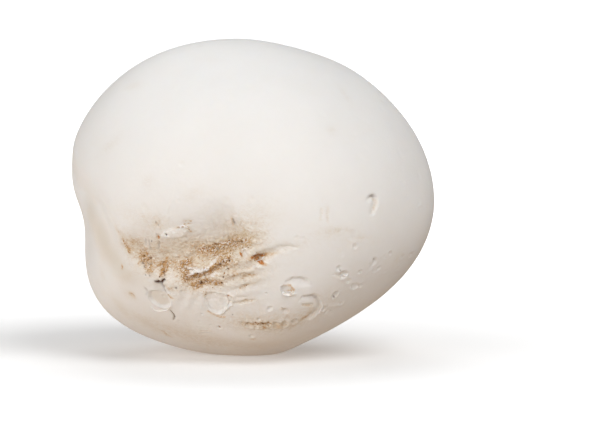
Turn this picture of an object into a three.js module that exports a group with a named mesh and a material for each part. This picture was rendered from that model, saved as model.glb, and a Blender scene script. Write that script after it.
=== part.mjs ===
// A giant puffball, picked and laid down with its torn base turned towards the front.
// One solid: a lopsided ball with a folded hollow where it grew from the ground, and
// the scars, nicks and pits round it. Millimetres, +X to the right as seen from the
// front, +Y away from the viewer, +Z up, the origin in the middle of the flat spot it
// rests on.

import * as THREE from "three";
import { mergeVertices } from "three/addons/utils/BufferGeometryUtils.js";

// Driving dimensions of the plain ball, before anything swells or dents it.
const HALF_WIDTH = 95;
const HALF_DEPTH = 81;
const HALF_HEIGHT = 84.5;
const MIDDLE = new THREE.Vector3(2.1, 0.1, 82.1); // the ball's middle above the flat spot
const EASE_TO_FLOOR = 0.9; // how softly the skin turns into the flat spot

// Where the front view is taken from: the scars are placed as seen from there.
const EYE_DISTANCE = 2500;
const EYE_RISE = THREE.MathUtils.degToRad(5);

// The mesh: an icosphere whose points crowd towards the scarred base.
const BALL_DETAIL = 22;
const CROWDED_PLACE = [-6, -38];
const CROWDING = 0.45; // 1 is even, smaller crowds more

// A scar's and a pit's section, as shares of its own size.
const SCAR_FLOOR = 0.7;
const SCAR_RIM = 0.22;
const PIT_RIM_RADIUS = 1.7;
const PIT_RIM_WIDTH = 0.6;
const PIT_RIM_HEIGHT = 0.25;

const SKIN = { color: 0xe9e4da, roughness: 0.75, metalness: 0 };

const AXES = new THREE.Vector3(HALF_WIDTH, HALF_DEPTH, HALF_HEIGHT);
const TO_EYE = new THREE.Vector3(0, -Math.cos(EYE_RISE), Math.sin(EYE_RISE));
const EYE = TO_EYE.clone().multiplyScalar(EYE_DISTANCE);
const VIEW_UP = new THREE.Vector3(0, Math.sin(EYE_RISE), Math.cos(EYE_RISE));
const VIEW_RIGHT = new THREE.Vector3(1, 0, 0);

// A point of the plain ball in a given direction from its middle.
function onBall(direction) {
  return direction.clone().divideScalar(direction.clone().divide(AXES).length());
}

// The plain ball's outward normal at a point of it.
function outward(point) {
  return point.clone().divide(AXES).divide(AXES).normalize();
}

// A point of the ball by its turn from the front to the right and its rise, in degrees.
function facing(turn, rise) {
  const t = THREE.MathUtils.degToRad(turn);
  const r = THREE.MathUtils.degToRad(rise);
  return onBall(new THREE.Vector3(Math.sin(t) * Math.cos(r), -Math.cos(t) * Math.cos(r), Math.sin(r)));
}

// The point of the ball that the front view shows, across and up from its middle.
function seen(across, up) {
  const aim = VIEW_RIGHT.clone().multiplyScalar(across).addScaledVector(VIEW_UP, up);
  const ray = aim.sub(EYE);
  const from = EYE.clone().divide(AXES);
  const along = ray.clone().divide(AXES);
  const a = along.dot(along);
  const b = from.dot(along);
  const c = from.dot(from) - 1;
  const reach = (-b - Math.sqrt(Math.max(b * b - a * c, 0))) / a;
  return EYE.clone().addScaledVector(ray, reach);
}

const bell = (x) => Math.exp(-x * x);
const smooth = THREE.MathUtils.smoothstep;

// A broad swelling, or a flattening where height is negative. Spread is in degrees.
function swelling(at, spread, height) {
  const towards = at.clone().normalize();
  const wide = THREE.MathUtils.degToRad(spread);
  return (point) => height * bell(point.angleTo(towards) / wide);
}

// A valley along a smooth path: deep at each point of it, with one width on the left of
// the way it runs and one on the right. A negative depth makes a ridge.
function fold(path, deep, leftWidth, rightWidth) {
  const steps = 6 * (path.length - 1);
  const line = new THREE.CatmullRomCurve3(path, false, "centripetal").getPoints(steps);
  const depthAt = (share) => {
    const place = share * (deep.length - 1);
    const low = Math.min(Math.floor(place), deep.length - 2);
    return THREE.MathUtils.lerp(deep[low], deep[low + 1], smooth(place - low, 0, 1));
  };
  const nearest = new THREE.Vector3();
  return (point) => {
    let best = Infinity;
    let share = 0;
    let left = false;
    for (let i = 0; i < steps; i++) {
      const run = line[i + 1].clone().sub(line[i]);
      const t = THREE.MathUtils.clamp(point.clone().sub(line[i]).dot(run) / run.lengthSq(), 0, 1);
      nearest.copy(line[i]).addScaledVector(run, t);
      const away = point.distanceTo(nearest);
      if (away < best) {
        best = away;
        share = (i + t) / steps;
        left = outward(nearest).cross(run).dot(point.clone().sub(nearest)) > 0;
      }
    }
    return -depthAt(share) * bell(best / (left ? leftWidth : rightWidth));
  };
}

// A patch where the skin came off: a flat floor inside a rounded outline, with a rim.
// Corners of 0 give an oval, and up to about 0.2 pull it into a rounded triangle.
function scar({ at, long, wide, turn = 0, corners = 0, floor, rim, rimTowards = -90 }) {
  const normal = outward(at);
  const right = VIEW_RIGHT.clone().addScaledVector(normal, -normal.x).normalize();
  const up = normal.clone().cross(right);
  const angle = THREE.MathUtils.degToRad(turn);
  const rimAngle = THREE.MathUtils.degToRad(rimTowards);
  return (point) => {
    const away = point.clone().sub(at);
    if (away.length() > 2.5 * long) return 0;
    const x = away.dot(right) * Math.cos(angle) + away.dot(up) * Math.sin(angle);
    const y = away.dot(up) * Math.cos(angle) - away.dot(right) * Math.sin(angle);
    const round = Math.atan2(y / wide, x / long);
    const out = Math.hypot(x / long, y / wide) / (1 + corners * Math.cos(3 * round));
    const facingRim = 0.55 + 0.45 * Math.cos(round - rimAngle);
    return rim * facingRim * bell((out - 1) / SCAR_RIM) - floor * (1 - smooth(out, SCAR_FLOOR, 1));
  };
}

// A small round pit with a faint raised edge.
function pit(at, radius, deep) {
  return (point) => {
    const away = point.distanceTo(at) / radius;
    if (away > 4) return 0;
    return deep * (PIT_RIM_HEIGHT * bell((away - PIT_RIM_RADIUS) / PIT_RIM_WIDTH) - bell(away));
  };
}

// Creases that run side by side across a patch, as crests and troughs of one wave.
function creases({ at, patch, heading, apart, height }) {
  const angle = THREE.MathUtils.degToRad(heading);
  const across = VIEW_UP.clone().multiplyScalar(Math.cos(angle));
  across.addScaledVector(VIEW_RIGHT, -Math.sin(angle));
  return (point) => {
    const away = point.clone().sub(at);
    const wave = Math.cos((2 * Math.PI * away.dot(across)) / apart);
    return height * wave * bell(away.length() / patch);
  };
}

// The slow unevenness that every grown thing has, from a few crossed waves.
function unevenness(point) {
  const { x, y, z } = point;
  return (
    0.5 * Math.sin(x / 17 + 1.3) * Math.cos(y / 21 + z / 25) +
    0.4 * Math.sin(z / 13 + 2.1) * Math.sin(y / 15 - x / 24 + 0.7) +
    0.3 * Math.cos(x / 11 - z / 14) * Math.sin(y / 12 + 0.4)
  );
}

// The lopsided shape: what the ball has more or less of than a plain one.
const SHAPE = [
  swelling(facing(-90, 38), 30, 3.0), // upper left shoulder
  swelling(facing(90, -4), 27, 3.6), // right cheek
  swelling(facing(90, -54), 28, -7.0), // drawn in under the right cheek
  swelling(facing(90, 68), 32, -2.2), // flatter top right
  swelling(facing(-85, -38), 20, 4.4), // lower left lobe
  swelling(facing(-80, -9), 15, -8.2), // the waist between the dome and the lobe, in front
  swelling(facing(-106, -8), 16, -9.2), // the same waist, further back
  swelling(facing(-40, -62), 24, -1.8), // under the lobe
  swelling(facing(90, -82), 16, 3.0), // settled outwards where it lies
  swelling(facing(170, 35), 45, 2.5), // the crown, at the back
  swelling(facing(150, -35), 30, -2.0), // low on the back
  swelling(seen(14, -62), 24, 5.0), // the full lower front
  swelling(seen(-18, -22), 25, -5.5), // the base is hollow as a whole
];

// The folds of the base, each from left to right or as its comment says.
const FOLDS = [
  // the valley that runs down from the left outline and parts the lobe from the dome
  fold(
    [facing(-96, 16), facing(-80, 7), seen(-82, -5), seen(-77, -17), seen(-71, -30), seen(-63, -41)],
    [0, 2.5, 4.5, 5, 4, 0],
    9,
    7,
  ),
  // the main hollow, under the overhang of the dome
  fold(
    [seen(-67, -16), seen(-57, -29), seen(-43, -36), seen(-27, -33), seen(-11, -26), seen(3, -20)],
    [0, 4, 7, 9.5, 9, 0],
    17,
    6.5,
  ),
  // the raised lip below it
  fold(
    [seen(-35, -40), seen(-27, -38.5), seen(-20, -36), seen(-13, -31), seen(-6, -28)],
    [0, -2.4, -2.6, -2.2, 0],
    2.2,
    2.2,
  ),
  // the crack under the lip
  fold([seen(-34, -42), seen(-24, -40.5), seen(-17, -37.5), seen(-10, -31.5)], [0, 2.6, 2.6, 0], 1.8, 2.6),
  // a shorter crack below that one
  fold([seen(-29, -49), seen(-24, -45.5), seen(-12, -43.5)], [0, 2.2, 0], 2, 2),
  // from the deepest corner of the hollow down to the oval scar
  fold([seen(-49, -41), seen(-45.5, -47), seen(-39, -53)], [0.5, 3, 0], 2.2, 3),
  // the small hole beside the hollow, with the crease that trails off to the right
  fold(
    [seen(2, -30), seen(6, -31.5), seen(10, -30.5), seen(17, -27), seen(27, -25)],
    [0, 4.2, 2.6, 1.2, 0],
    3,
    2,
  ),
  // the wall of skin between the hole and the hollow
  fold([seen(1, -22), seen(2, -29), seen(-1, -36)], [0, -1.6, 0], 3, 3),
  // the fingernail nick on the right, from its top end round to the left
  fold([seen(65, 2.5), seen(67.5, -1.5), seen(67, -5.5), seen(63, -9.5)], [0.4, 2.2, 2, 0], 0.9, 3.6),
  // the crescent flap low on the right, from its top left end
  fold(
    [seen(30, -53), seen(36, -51.5), seen(38.5, -56), seen(35, -62), seen(31, -64.5)],
    [0, 1.3, 1.8, 1.8, 0],
    1.1,
    3.2,
  ),
  // the shell shaped tear above it
  fold([seen(18, -46), seen(24, -42.5), seen(31, -43), seen(34, -47)], [0, 1.2, 1.2, 0], 1, 3.4),
];

// The row of pits low down on the front, from left to right.
const ROW_OF_PITS = [1, 4.5, 8, 11.5, 15.5, 19.5];
const ROW_UP = -66.5;

// Patches, pits and creases of the torn base.
const MARKS = [
  scar({ at: seen(-46, -53), long: 7, wide: 5.2, turn: -12, floor: 1.2, rim: 0.8 }),
  scar({ at: seen(-15.5, -54.5), long: 7.4, wide: 6.4, turn: 25, corners: 0.16, floor: 1.1, rim: 0.8 }),
  scar({ at: seen(-38, -18.5), long: 8, wide: 3.2, turn: 14, floor: -1.1, rim: 0.5, rimTowards: 90 }),
  scar({ at: seen(21, -48.5), long: 3.6, wide: 2.4, turn: -35, floor: 1.3, rim: 0.7 }),
  scar({ at: seen(-24, -32), long: 7, wide: 3.4, turn: 12, floor: -1.6, rim: 0 }),
  pit(seen(-46.3, -44.2), 1.5, 2.2),
  pit(seen(51, -40), 2.1, 1.5),
  pit(seen(48.5, -36.5), 1.4, 1.0),
  pit(seen(57, -46), 2.0, 1.3),
  pit(seen(67.5, -33), 1.6, 1.2),
  pit(seen(69.5, -36.5), 1.5, 1.1),
  pit(seen(46.5, -50.5), 1.8, 1.2),
  pit(seen(57, -25), 1.6, 0.8),
  pit(seen(20.5, -59), 1.7, 1.0),
  pit(seen(12, -58), 1.5, 0.8),
  pit(seen(25, -64.5), 1.8, 1.2),
  pit(seen(-1.5, -29), 1.8, 1.6),
  pit(seen(-43.5, -36), 2.1, 1.8),
  ...ROW_OF_PITS.map((across, i) => pit(seen(across, ROW_UP + 0.4 * (i % 2)), 1.5, 1.0)),
  creases({ at: seen(-4, -39), patch: 11, heading: 16, apart: 5, height: 0.7 }),
  creases({ at: seen(-31, -41), patch: 15, heading: 62, apart: 6.5, height: 0.6 }),
];

// The ball's even icosphere with its points drawn towards one place. Seen in
// stereographic projection from the far side, every point moves inwards by one factor,
// which keeps the triangles' shapes.
function crowdedDirections() {
  const even = new THREE.IcosahedronGeometry(1, BALL_DETAIL);
  even.deleteAttribute("normal");
  even.deleteAttribute("uv");
  const ball = mergeVertices(even, 1e-4);
  const pole = seen(...CROWDED_PLACE).normalize();
  const places = ball.getAttribute("position");
  const point = new THREE.Vector3();
  for (let i = 0; i < places.count; i++) {
    point.fromBufferAttribute(places, i).normalize();
    const height = point.dot(pole);
    const aside = point.clone().addScaledVector(pole, -height);
    const far = aside.length();
    if (far < 1e-9) continue;
    const angle = 2 * Math.atan(CROWDING * Math.tan(Math.acos(THREE.MathUtils.clamp(height, -1, 1)) / 2));
    point.copy(aside.multiplyScalar(Math.sin(angle) / far)).addScaledVector(pole, Math.cos(angle));
    places.setXYZ(i, point.x, point.y, point.z);
  }
  return ball;
}

// The height above the floor of a point that would be at a given height: never below
// it, and easing into the flat spot.
function settled(height) {
  return height <= 0 ? 0 : (height * height) / (height + EASE_TO_FLOOR);
}

function fruitingBody() {
  const ball = crowdedDirections();
  const places = ball.getAttribute("position");
  const point = new THREE.Vector3();
  const features = [...SHAPE, ...FOLDS, ...MARKS, unevenness];
  for (let i = 0; i < places.count; i++) {
    const plain = onBall(point.fromBufferAttribute(places, i));
    const raised = features.reduce((sum, feature) => sum + feature(plain), 0);
    const placed = outward(plain).multiplyScalar(raised).add(plain).add(MIDDLE);
    places.setXYZ(i, placed.x, placed.y, settled(placed.z));
  }
  ball.computeVertexNormals();
  const mesh = new THREE.Mesh(ball, new THREE.MeshStandardMaterial(SKIN));
  mesh.name = "fruiting_body";
  return mesh;
}

const puffball = new THREE.Group();
puffball.add(fruitingBody());

export default puffball;
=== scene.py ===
"""A giant puffball, picked and laid down with its torn base turned to the front.

Places and sizes on the ball are in millimetres from its middle, and the finished
meshes are in metres.
"""

from __future__ import annotations

import logging
import math
from dataclasses import dataclass, field
from enum import Enum
from typing import Protocol, Sequence

import bpy
import numpy as np
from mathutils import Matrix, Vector, noise
from mathutils.bvhtree import BVHTree


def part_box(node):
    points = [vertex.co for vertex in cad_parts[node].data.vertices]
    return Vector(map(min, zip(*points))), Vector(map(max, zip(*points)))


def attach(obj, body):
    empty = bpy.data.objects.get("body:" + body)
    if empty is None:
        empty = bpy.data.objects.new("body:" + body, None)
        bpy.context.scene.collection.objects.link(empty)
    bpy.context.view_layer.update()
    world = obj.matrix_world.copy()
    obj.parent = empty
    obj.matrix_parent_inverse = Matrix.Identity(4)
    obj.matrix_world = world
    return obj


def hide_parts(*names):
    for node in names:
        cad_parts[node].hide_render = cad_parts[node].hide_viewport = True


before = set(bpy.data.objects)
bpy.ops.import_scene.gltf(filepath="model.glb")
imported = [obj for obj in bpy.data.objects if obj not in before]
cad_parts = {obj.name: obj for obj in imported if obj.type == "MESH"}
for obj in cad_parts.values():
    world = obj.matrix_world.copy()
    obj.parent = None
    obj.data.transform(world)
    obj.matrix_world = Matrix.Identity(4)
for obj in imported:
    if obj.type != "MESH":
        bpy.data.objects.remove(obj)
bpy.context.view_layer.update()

LOG = logging.getLogger("puffball")
MM = 0.001
BODY = "root"
NODE = "fruiting_body"

Colour = tuple[float, float, float]


class Slot(Enum):
    """The record's material slots."""

    SKIN = "peridium"
    SOIL = "soil"


class Stain(Enum):
    """What colours the skin, each kept as an attribute of its mesh. Two of them also carry painted shade,
    and one carries painted highlights.
    """

    # soil tint, which also holds painted shade above the hollow and under its rim
    TINT = "soil_tint_and_painted_shade"
    SOIL = "soil_grains"
    RUST = "rust_stain"
    DARK = "dark_crack"
    # white of torn flesh, and painted highlights on the lit rims of pits, crescents and the nick
    TORN_AND_HIGHLIGHT = "torn_flesh_and_painted_highlight"
    # cream of the scars, and painted shade down the left valley
    CREAM = "cream_scar_and_painted_shade"


# Shape of the ball


@dataclass(frozen=True)
class Ball:
    """The plain ball, before anything swells or dents it, and how the front is seen."""

    half_width: float = 95.0
    half_depth: float = 81.0
    half_height: float = 84.5
    middle: tuple[float, float, float] = (2.1, 0.1, 82.1)
    ease_to_floor: float = 0.9
    eye_distance: float = 2500.0
    eye_rise: float = 5.0

    @property
    def axes(self) -> np.ndarray:
        """Half sizes along X, Y and Z."""
        return np.array((self.half_width, self.half_depth, self.half_height))

    @property
    def to_eye(self) -> np.ndarray:
        """Direction from the ball's middle to the eye."""
        rise = math.radians(self.eye_rise)
        return np.array((0.0, -math.cos(rise), math.sin(rise)))

    @property
    def view_up(self) -> np.ndarray:
        """Direction that points up in the front view."""
        rise = math.radians(self.eye_rise)
        return np.array((0.0, math.sin(rise), math.cos(rise)))

    def on_ball(self, directions: np.ndarray) -> np.ndarray:
        """Finds the ball's points in given directions from its middle.

        Args:
            directions: An array of directions, one a row.

        Returns:
            The points, one a row.
        """
        reach = np.linalg.norm(directions / self.axes, axis=-1, keepdims=True)
        return directions / reach

    def outward(self, points: np.ndarray) -> np.ndarray:
        """Finds the ball's outward normals.

        Args:
            points: Points of the plain ball, one a row.

        Returns:
            The unit normals, one a row.
        """
        normals = points / self.axes**2
        return normals / np.linalg.norm(normals, axis=-1, keepdims=True)

    def facing(self, turn: float, rise: float) -> np.ndarray:
        """Finds a point by its direction from the middle.

        Args:
            turn: Degrees from the front round to the right.
            rise: Degrees above the middle.

        Returns:
            The point.
        """
        t = math.radians(turn)
        r = math.radians(rise)
        direction = (math.sin(t) * math.cos(r), -math.cos(t) * math.cos(r), math.sin(r))
        return self.on_ball(np.array(direction))

    def seen(self, across: float, up: float) -> np.ndarray:
        """Finds the point that the front view shows at a place.

        Args:
            across: Millimetres to the right of the middle, in the view.
            up: Millimetres above it.

        Returns:
            The point.
        """
        eye = self.to_eye * self.eye_distance
        ray = np.array((across, 0.0, 0.0)) + self.view_up * up - eye
        start = eye / self.axes
        along = ray / self.axes
        a = along @ along
        b = start @ along
        c = start @ start - 1
        reach = (-b - math.sqrt(max(b * b - a * c, 0.0))) / a
        return eye + ray * reach

    def viewed(self, point: np.ndarray) -> np.ndarray:
        """Finds where the front view shows a point.

        Args:
            point: The point, from the ball's middle.

        Returns:
            Millimetres across and up.
        """
        nearer = self.eye_distance / (self.eye_distance - point @ self.to_eye)
        return np.array((point[0], point @ self.view_up)) * nearer


BALL = Ball()


def facing(turn: float, rise: float) -> np.ndarray:
    """A point of the ball by its direction: degrees to the right and up."""
    return BALL.facing(turn, rise)


def seen(across: float, up: float) -> np.ndarray:
    """A point of the ball as the front view shows it: millimetres across and up."""
    return BALL.seen(across, up)


def bell(x: np.ndarray) -> np.ndarray:
    """The bell curve that hills and hollows follow."""
    return np.exp(-x * x)


def smooth(x: np.ndarray, low: float, high: float) -> np.ndarray:
    """Rises smoothly from 0 at low to 1 at high."""
    t = np.clip((x - low) / (high - low), 0.0, 1.0)
    return t * t * (3 - 2 * t)


class Mark(Protocol):
    """Anything that has an amount at each point of the ball."""

    def amount(self, points: np.ndarray) -> np.ndarray:
        """The amount at each point: millimetres of height, or a share of colour."""


@dataclass(frozen=True)
class Swelling:
    """A broad swelling, or a flattening where height is negative."""

    at: np.ndarray
    spread: float
    height: float

    def amount(self, points: np.ndarray) -> np.ndarray:
        """Finds the height at each point.

        Args:
            points: Points near the ball, one a row.

        Returns:
            The heights, in millimetres.
        """
        towards = self.at / np.linalg.norm(self.at)
        cosine = points @ towards / np.linalg.norm(points, axis=1)
        return self.height * bell(np.arccos(np.clip(cosine, -1, 1)) / math.radians(self.spread))


STEPS_A_STRETCH = 6

# How far off a mark is still worked out, in its own widths, and what stands for further out
FOLD_REACH = 3.2
STREAK_REACH = 3
PIT_REACH = 4
PATCH_REACH = 4.0
FAR_OUT = 9.0

# The raised edge of a pit, as shares of its radius and depth
PIT_RIM_RADIUS = 1.7
PIT_RIM_WIDTH = 0.6
PIT_RIM_HEIGHT = 0.25


@dataclass(frozen=True)
class Course:
    """A smooth course over the ball through a few places."""

    places: Sequence[np.ndarray]

    def line(self) -> np.ndarray:
        """Draws the course as a fine polyline, a centripetal Catmull-Rom curve.

        Returns:
            Its points, one a row.
        """
        p = list(self.places)
        p = [2 * p[0] - p[1], *p, 2 * p[-1] - p[-2]]
        drawn = [p[1]]
        for a, b, c, d in zip(p, p[1:], p[2:], p[3:]):
            first = math.sqrt(np.linalg.norm(b - a))
            middle = math.sqrt(np.linalg.norm(c - b))
            last = math.sqrt(np.linalg.norm(d - c))
            leave = ((b - a) / first - (c - a) / (first + middle) + (c - b) / middle) * middle
            reach = ((c - b) / middle - (d - b) / (middle + last) + (d - c) / last) * middle
            for step in range(1, STEPS_A_STRETCH + 1):
                t = step / STEPS_A_STRETCH
                cubic = (2 * t**3 - 3 * t**2 + 1) * b + (3 * t**2 - 2 * t**3) * c
                drawn.append(cubic + (t**3 - 2 * t**2 + t) * leave + (t**3 - t**2) * reach)
        return np.array(drawn)

    def nearest(self, points: np.ndarray) -> tuple[np.ndarray, np.ndarray, np.ndarray]:
        """Finds how each point lies to the course.

        Args:
            points: Points near the ball, one a row.

        Returns:
            The distance of each, its share of the way along, and whether it is on the left.
        """
        line = self.line()
        best = np.full(len(points), np.inf)
        share = np.zeros(len(points))
        left = np.zeros(len(points), bool)
        for i, (start, end) in enumerate(zip(line, line[1:])):
            run = end - start
            t = np.clip((points - start) @ run / (run @ run), 0, 1)
            foot = start + t[:, None] * run
            away = np.linalg.norm(points - foot, axis=1)
            closer = away < best
            best = np.where(closer, away, best)
            share = np.where(closer, (i + t) / (len(line) - 1), share)
            side = np.einsum("ij,ij->i", np.cross(BALL.outward(foot), run), points - foot)
            left = np.where(closer, side > 0, left)
        return best, share, left

    def near(self, points: np.ndarray, reach: float) -> np.ndarray:
        """Finds the points that may lie near the course.

        Args:
            points: Points near the ball, one a row.
            reach: How far round the course's box still counts, in millimetres.

        Returns:
            Whether each point lies within reach of the box.
        """
        low = np.min(self.places, axis=0) - reach
        high = np.max(self.places, axis=0) + reach
        return np.all((points > low) & (points < high), axis=1)


@dataclass(frozen=True)
class Fold:
    """A valley along a course, with a width for each side. A depth below 0 is a ridge."""

    places: Sequence[np.ndarray]
    deep: Sequence[float]
    left_width: float
    right_width: float

    def amount(self, points: np.ndarray) -> np.ndarray:
        """Finds the height at each point.

        Args:
            points: Points near the ball, one a row.

        Returns:
            The heights, in millimetres, below 0 in the valley.
        """
        course = Course(self.places)
        height = np.zeros(len(points))
        near = course.near(points, FOLD_REACH * max(self.left_width, self.right_width))
        away, share, left = course.nearest(points[near])
        place = share * (len(self.deep) - 1)
        low = np.minimum(place.astype(int), len(self.deep) - 2)
        deep = np.array(self.deep)
        ease = smooth(place - low, 0.0, 1.0)
        depth = deep[low] + (deep[low + 1] - deep[low]) * ease
        width = np.where(left, self.left_width, self.right_width)
        height[near] = -depth * bell(away / width)
        return height


@dataclass(frozen=True)
class Patch:
    """An oval place on the ball with its own right and up, turned by degrees."""

    at: np.ndarray
    long: float
    wide: float
    turn: float = 0.0
    corners: float = 0.0

    def directions(self) -> tuple[np.ndarray, np.ndarray]:
        """Finds how the patch lies along the ball.

        Returns:
            Its long direction and its wide one.
        """
        normal = BALL.outward(self.at)
        right = np.array((1.0, 0.0, 0.0)) - normal * normal[0]
        right /= np.linalg.norm(right)
        up = np.cross(normal, right)
        angle = math.radians(self.turn)
        cosine = math.cos(angle)
        sine = math.sin(angle)
        return right * cosine + up * sine, up * cosine - right * sine

    def outline(self, points: np.ndarray) -> tuple[np.ndarray, np.ndarray]:
        """Finds how far out each point is.

        Args:
            points: Points near the ball, one a row.

        Returns:
            The share of the way to the outline, 1 on it, and the angle round it.
        """
        right, up = self.directions()
        away = points - self.at
        x = away @ right / self.long
        y = away @ up / self.wide
        around = np.arctan2(y, x)
        out = np.hypot(x, y) / (1 + self.corners * np.cos(3 * around))
        far = np.linalg.norm(away, axis=1) > PATCH_REACH * self.long
        return np.where(far, FAR_OUT, out), around


@dataclass(frozen=True)
class Scar:
    """A patch where the skin came off: a flat floor inside a rounded outline, with a thin rim."""

    patch: Patch
    floor: float
    rim: float
    rim_towards: float = -90.0
    wall: float = 0.84
    rim_width: float = 0.11

    def amount(self, points: np.ndarray) -> np.ndarray:
        """Finds the height at each point.

        Args:
            points: Points near the ball, one a row.

        Returns:
            The heights, in millimetres.
        """
        out, around = self.patch.outline(points)
        facing_rim = 0.5 + 0.5 * np.cos(around - math.radians(self.rim_towards))
        edge = self.rim * facing_rim * bell((out - 1) / self.rim_width)
        return edge - self.floor * (1 - smooth(out, self.wall, 1))


@dataclass(frozen=True)
class Pores:
    """Many tiny pits crowded in an oval place."""

    patch: Patch
    count: int
    largest: float
    deepest: float
    seed: int
    smallest: float = 0.45
    shallowest: float = 0.3
    mostly_small: float = 1.5

    def pits(self) -> list[Pit]:
        """Draws the pits, most of them small.

        Returns:
            The pits.
        """
        draw = np.random.default_rng(self.seed)
        right, up = self.patch.directions()
        drawn = []
        for _ in range(self.count):
            away = right * draw.normal() * self.patch.long / 2 + up * draw.normal() * self.patch.wide / 2
            share = draw.random() ** self.mostly_small
            radius = self.largest * (self.smallest + (1 - self.smallest) * share)
            deep = self.deepest * (self.shallowest + (1 - self.shallowest) * share)
            drawn.append(Pit(BALL.on_ball(self.patch.at + away), radius, deep))
        return drawn

    def amount(self, points: np.ndarray) -> np.ndarray:
        """Finds the height at each point.

        Args:
            points: Points near the ball, one a row.

        Returns:
            The heights, in millimetres.
        """
        height = np.zeros(len(points))
        for pit in self.pits():
            near = np.linalg.norm(points - pit.at, axis=1) < PIT_REACH * pit.radius
            height[near] += pit.amount(points[near])
        return height


@dataclass(frozen=True)
class Pit:
    """A small round pit with a faint raised edge."""

    at: np.ndarray
    radius: float
    deep: float

    def amount(self, points: np.ndarray) -> np.ndarray:
        """Height at each point, in millimetres."""
        away = np.linalg.norm(points - self.at, axis=1) / self.radius
        return self.deep * (PIT_RIM_HEIGHT * bell((away - PIT_RIM_RADIUS) / PIT_RIM_WIDTH) - bell(away))


@dataclass(frozen=True)
class Creases:
    """Creases that run side by side across a patch, as crests and troughs of one wave."""

    at: np.ndarray
    patch: float
    heading: float
    apart: float
    height: float

    def amount(self, points: np.ndarray) -> np.ndarray:
        """Finds the height at each point.

        Args:
            points: Points near the ball, one a row.

        Returns:
            The heights, in millimetres.
        """
        angle = math.radians(self.heading)
        across = BALL.view_up * math.cos(angle) - np.array((math.sin(angle), 0.0, 0.0))
        away = points - self.at
        wave = np.cos(2 * math.pi * (away @ across) / self.apart)
        return self.height * wave * bell(np.linalg.norm(away, axis=1) / self.patch)


@dataclass(frozen=True)
class Smudge:
    """A soft oval of colour."""

    patch: Patch
    share: float

    def amount(self, points: np.ndarray) -> np.ndarray:
        """Share of colour at each point."""
        return self.share * bell(self.patch.outline(points)[0])


@dataclass(frozen=True)
class Spot:
    """An oval of colour with a firm edge."""

    patch: Patch
    share: float
    edge_from: float = 0.75
    edge_to: float = 1.1

    def amount(self, points: np.ndarray) -> np.ndarray:
        """Share of colour at each point."""
        return self.share * (1 - smooth(self.patch.outline(points)[0], self.edge_from, self.edge_to))


@dataclass(frozen=True)
class Streak:
    """A line of colour along a course."""

    places: Sequence[np.ndarray]
    share: Sequence[float]
    width: float

    def amount(self, points: np.ndarray) -> np.ndarray:
        """Finds the share of colour at each point.

        Args:
            points: Points near the ball, one a row.

        Returns:
            The shares.
        """
        course = Course(self.places)
        colour = np.zeros(len(points))
        near = course.near(points, STREAK_REACH * self.width)
        away, along, _ = course.nearest(points[near])
        shares = np.interp(along, np.linspace(0, 1, len(self.share)), self.share)
        colour[near] = shares * bell(away / self.width)
        return colour


def unevenness(points: np.ndarray) -> np.ndarray:
    """The slow unevenness that every grown thing has, from a few crossed waves."""
    x, y, z = points.T
    return (
        0.5 * np.sin(x / 17 + 1.3) * np.cos(y / 21 + z / 25)
        + 0.4 * np.sin(z / 13 + 2.1) * np.sin(y / 15 - x / 24 + 0.7)
        + 0.3 * np.cos(x / 11 - z / 14) * np.sin(y / 12 + 0.4)
    )


# The lopsided shape, as on the solid: what the ball has more or less of than a plain one.
SHAPE: list[Mark] = [
    Swelling(facing(-90, 38), 30, 3.0),  # upper left shoulder
    Swelling(facing(90, -4), 27, 3.6),  # right cheek
    Swelling(facing(90, -54), 28, -7.0),  # drawn in under the right cheek
    Swelling(facing(90, 68), 32, -2.2),  # flatter top right
    Swelling(facing(-85, -38), 20, 4.4),  # lower left lobe
    Swelling(facing(-80, -9), 15, -8.2),  # the waist between the dome and the lobe, in front
    Swelling(facing(-106, -8), 16, -9.2),  # the same waist, further back
    Swelling(facing(-40, -62), 24, -1.8),  # under the lobe
    Swelling(facing(90, -82), 16, 3.0),  # settled outwards where it lies
    Swelling(facing(170, 35), 45, 2.5),  # the crown, at the back
    Swelling(facing(150, -35), 30, -2.0),  # low on the back
    Swelling(seen(14, -62), 24, 5.0),  # the full lower front
    Swelling(seen(-18, -22), 25, -5.5),  # the base is hollow as a whole
]

LEFT_VALLEY = [
    facing(-96, 16),
    facing(-80, 7),
    seen(-82, -5),
    seen(-77, -17),
    seen(-71, -30),
    seen(-63, -41),
]
HOLLOW = [seen(-67, -16), seen(-57, -29), seen(-43, -36), seen(-27, -33), seen(-11, -26), seen(3, -20)]
BROAD_FOLDS: list[Mark] = [
    Fold(LEFT_VALLEY, (0, 2.5, 4.5, 5, 4, 0), 9, 7),
    Fold(HOLLOW, (0, 4, 7, 9.5, 9, 0), 17, 6.5),
]
AIMING_STEPS = 4


def shown(across: float, up: float) -> np.ndarray:
    """Finds the ball's point whose swollen or hollowed skin the front view shows at a place.

    Args:
        across: Millimetres to the right of the middle, in the view.
        up: Millimetres above it.

    Returns:
        The point of the plain ball.
    """
    wanted = np.array((across, up), float)
    aim = wanted.copy()
    for _ in range(AIMING_STEPS):
        at = BALL.seen(*aim)
        plain = at[None, :]
        height = unevenness(plain) + sum(mark.amount(plain) for mark in (*SHAPE, *BROAD_FOLDS))
        aim += wanted - BALL.viewed(at + BALL.outward(plain)[0] * height[0])
    return at


def oval(across: float, up: float, long: float, wide: float, turn: float = 0.0) -> Patch:
    """An oval patch at a place of the front view."""
    return Patch(shown(across, up), long, wide, turn)


def places(*pairs: tuple[float, float]) -> list[np.ndarray]:
    """Several places of the front view."""
    return [shown(*pair) for pair in pairs]


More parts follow.
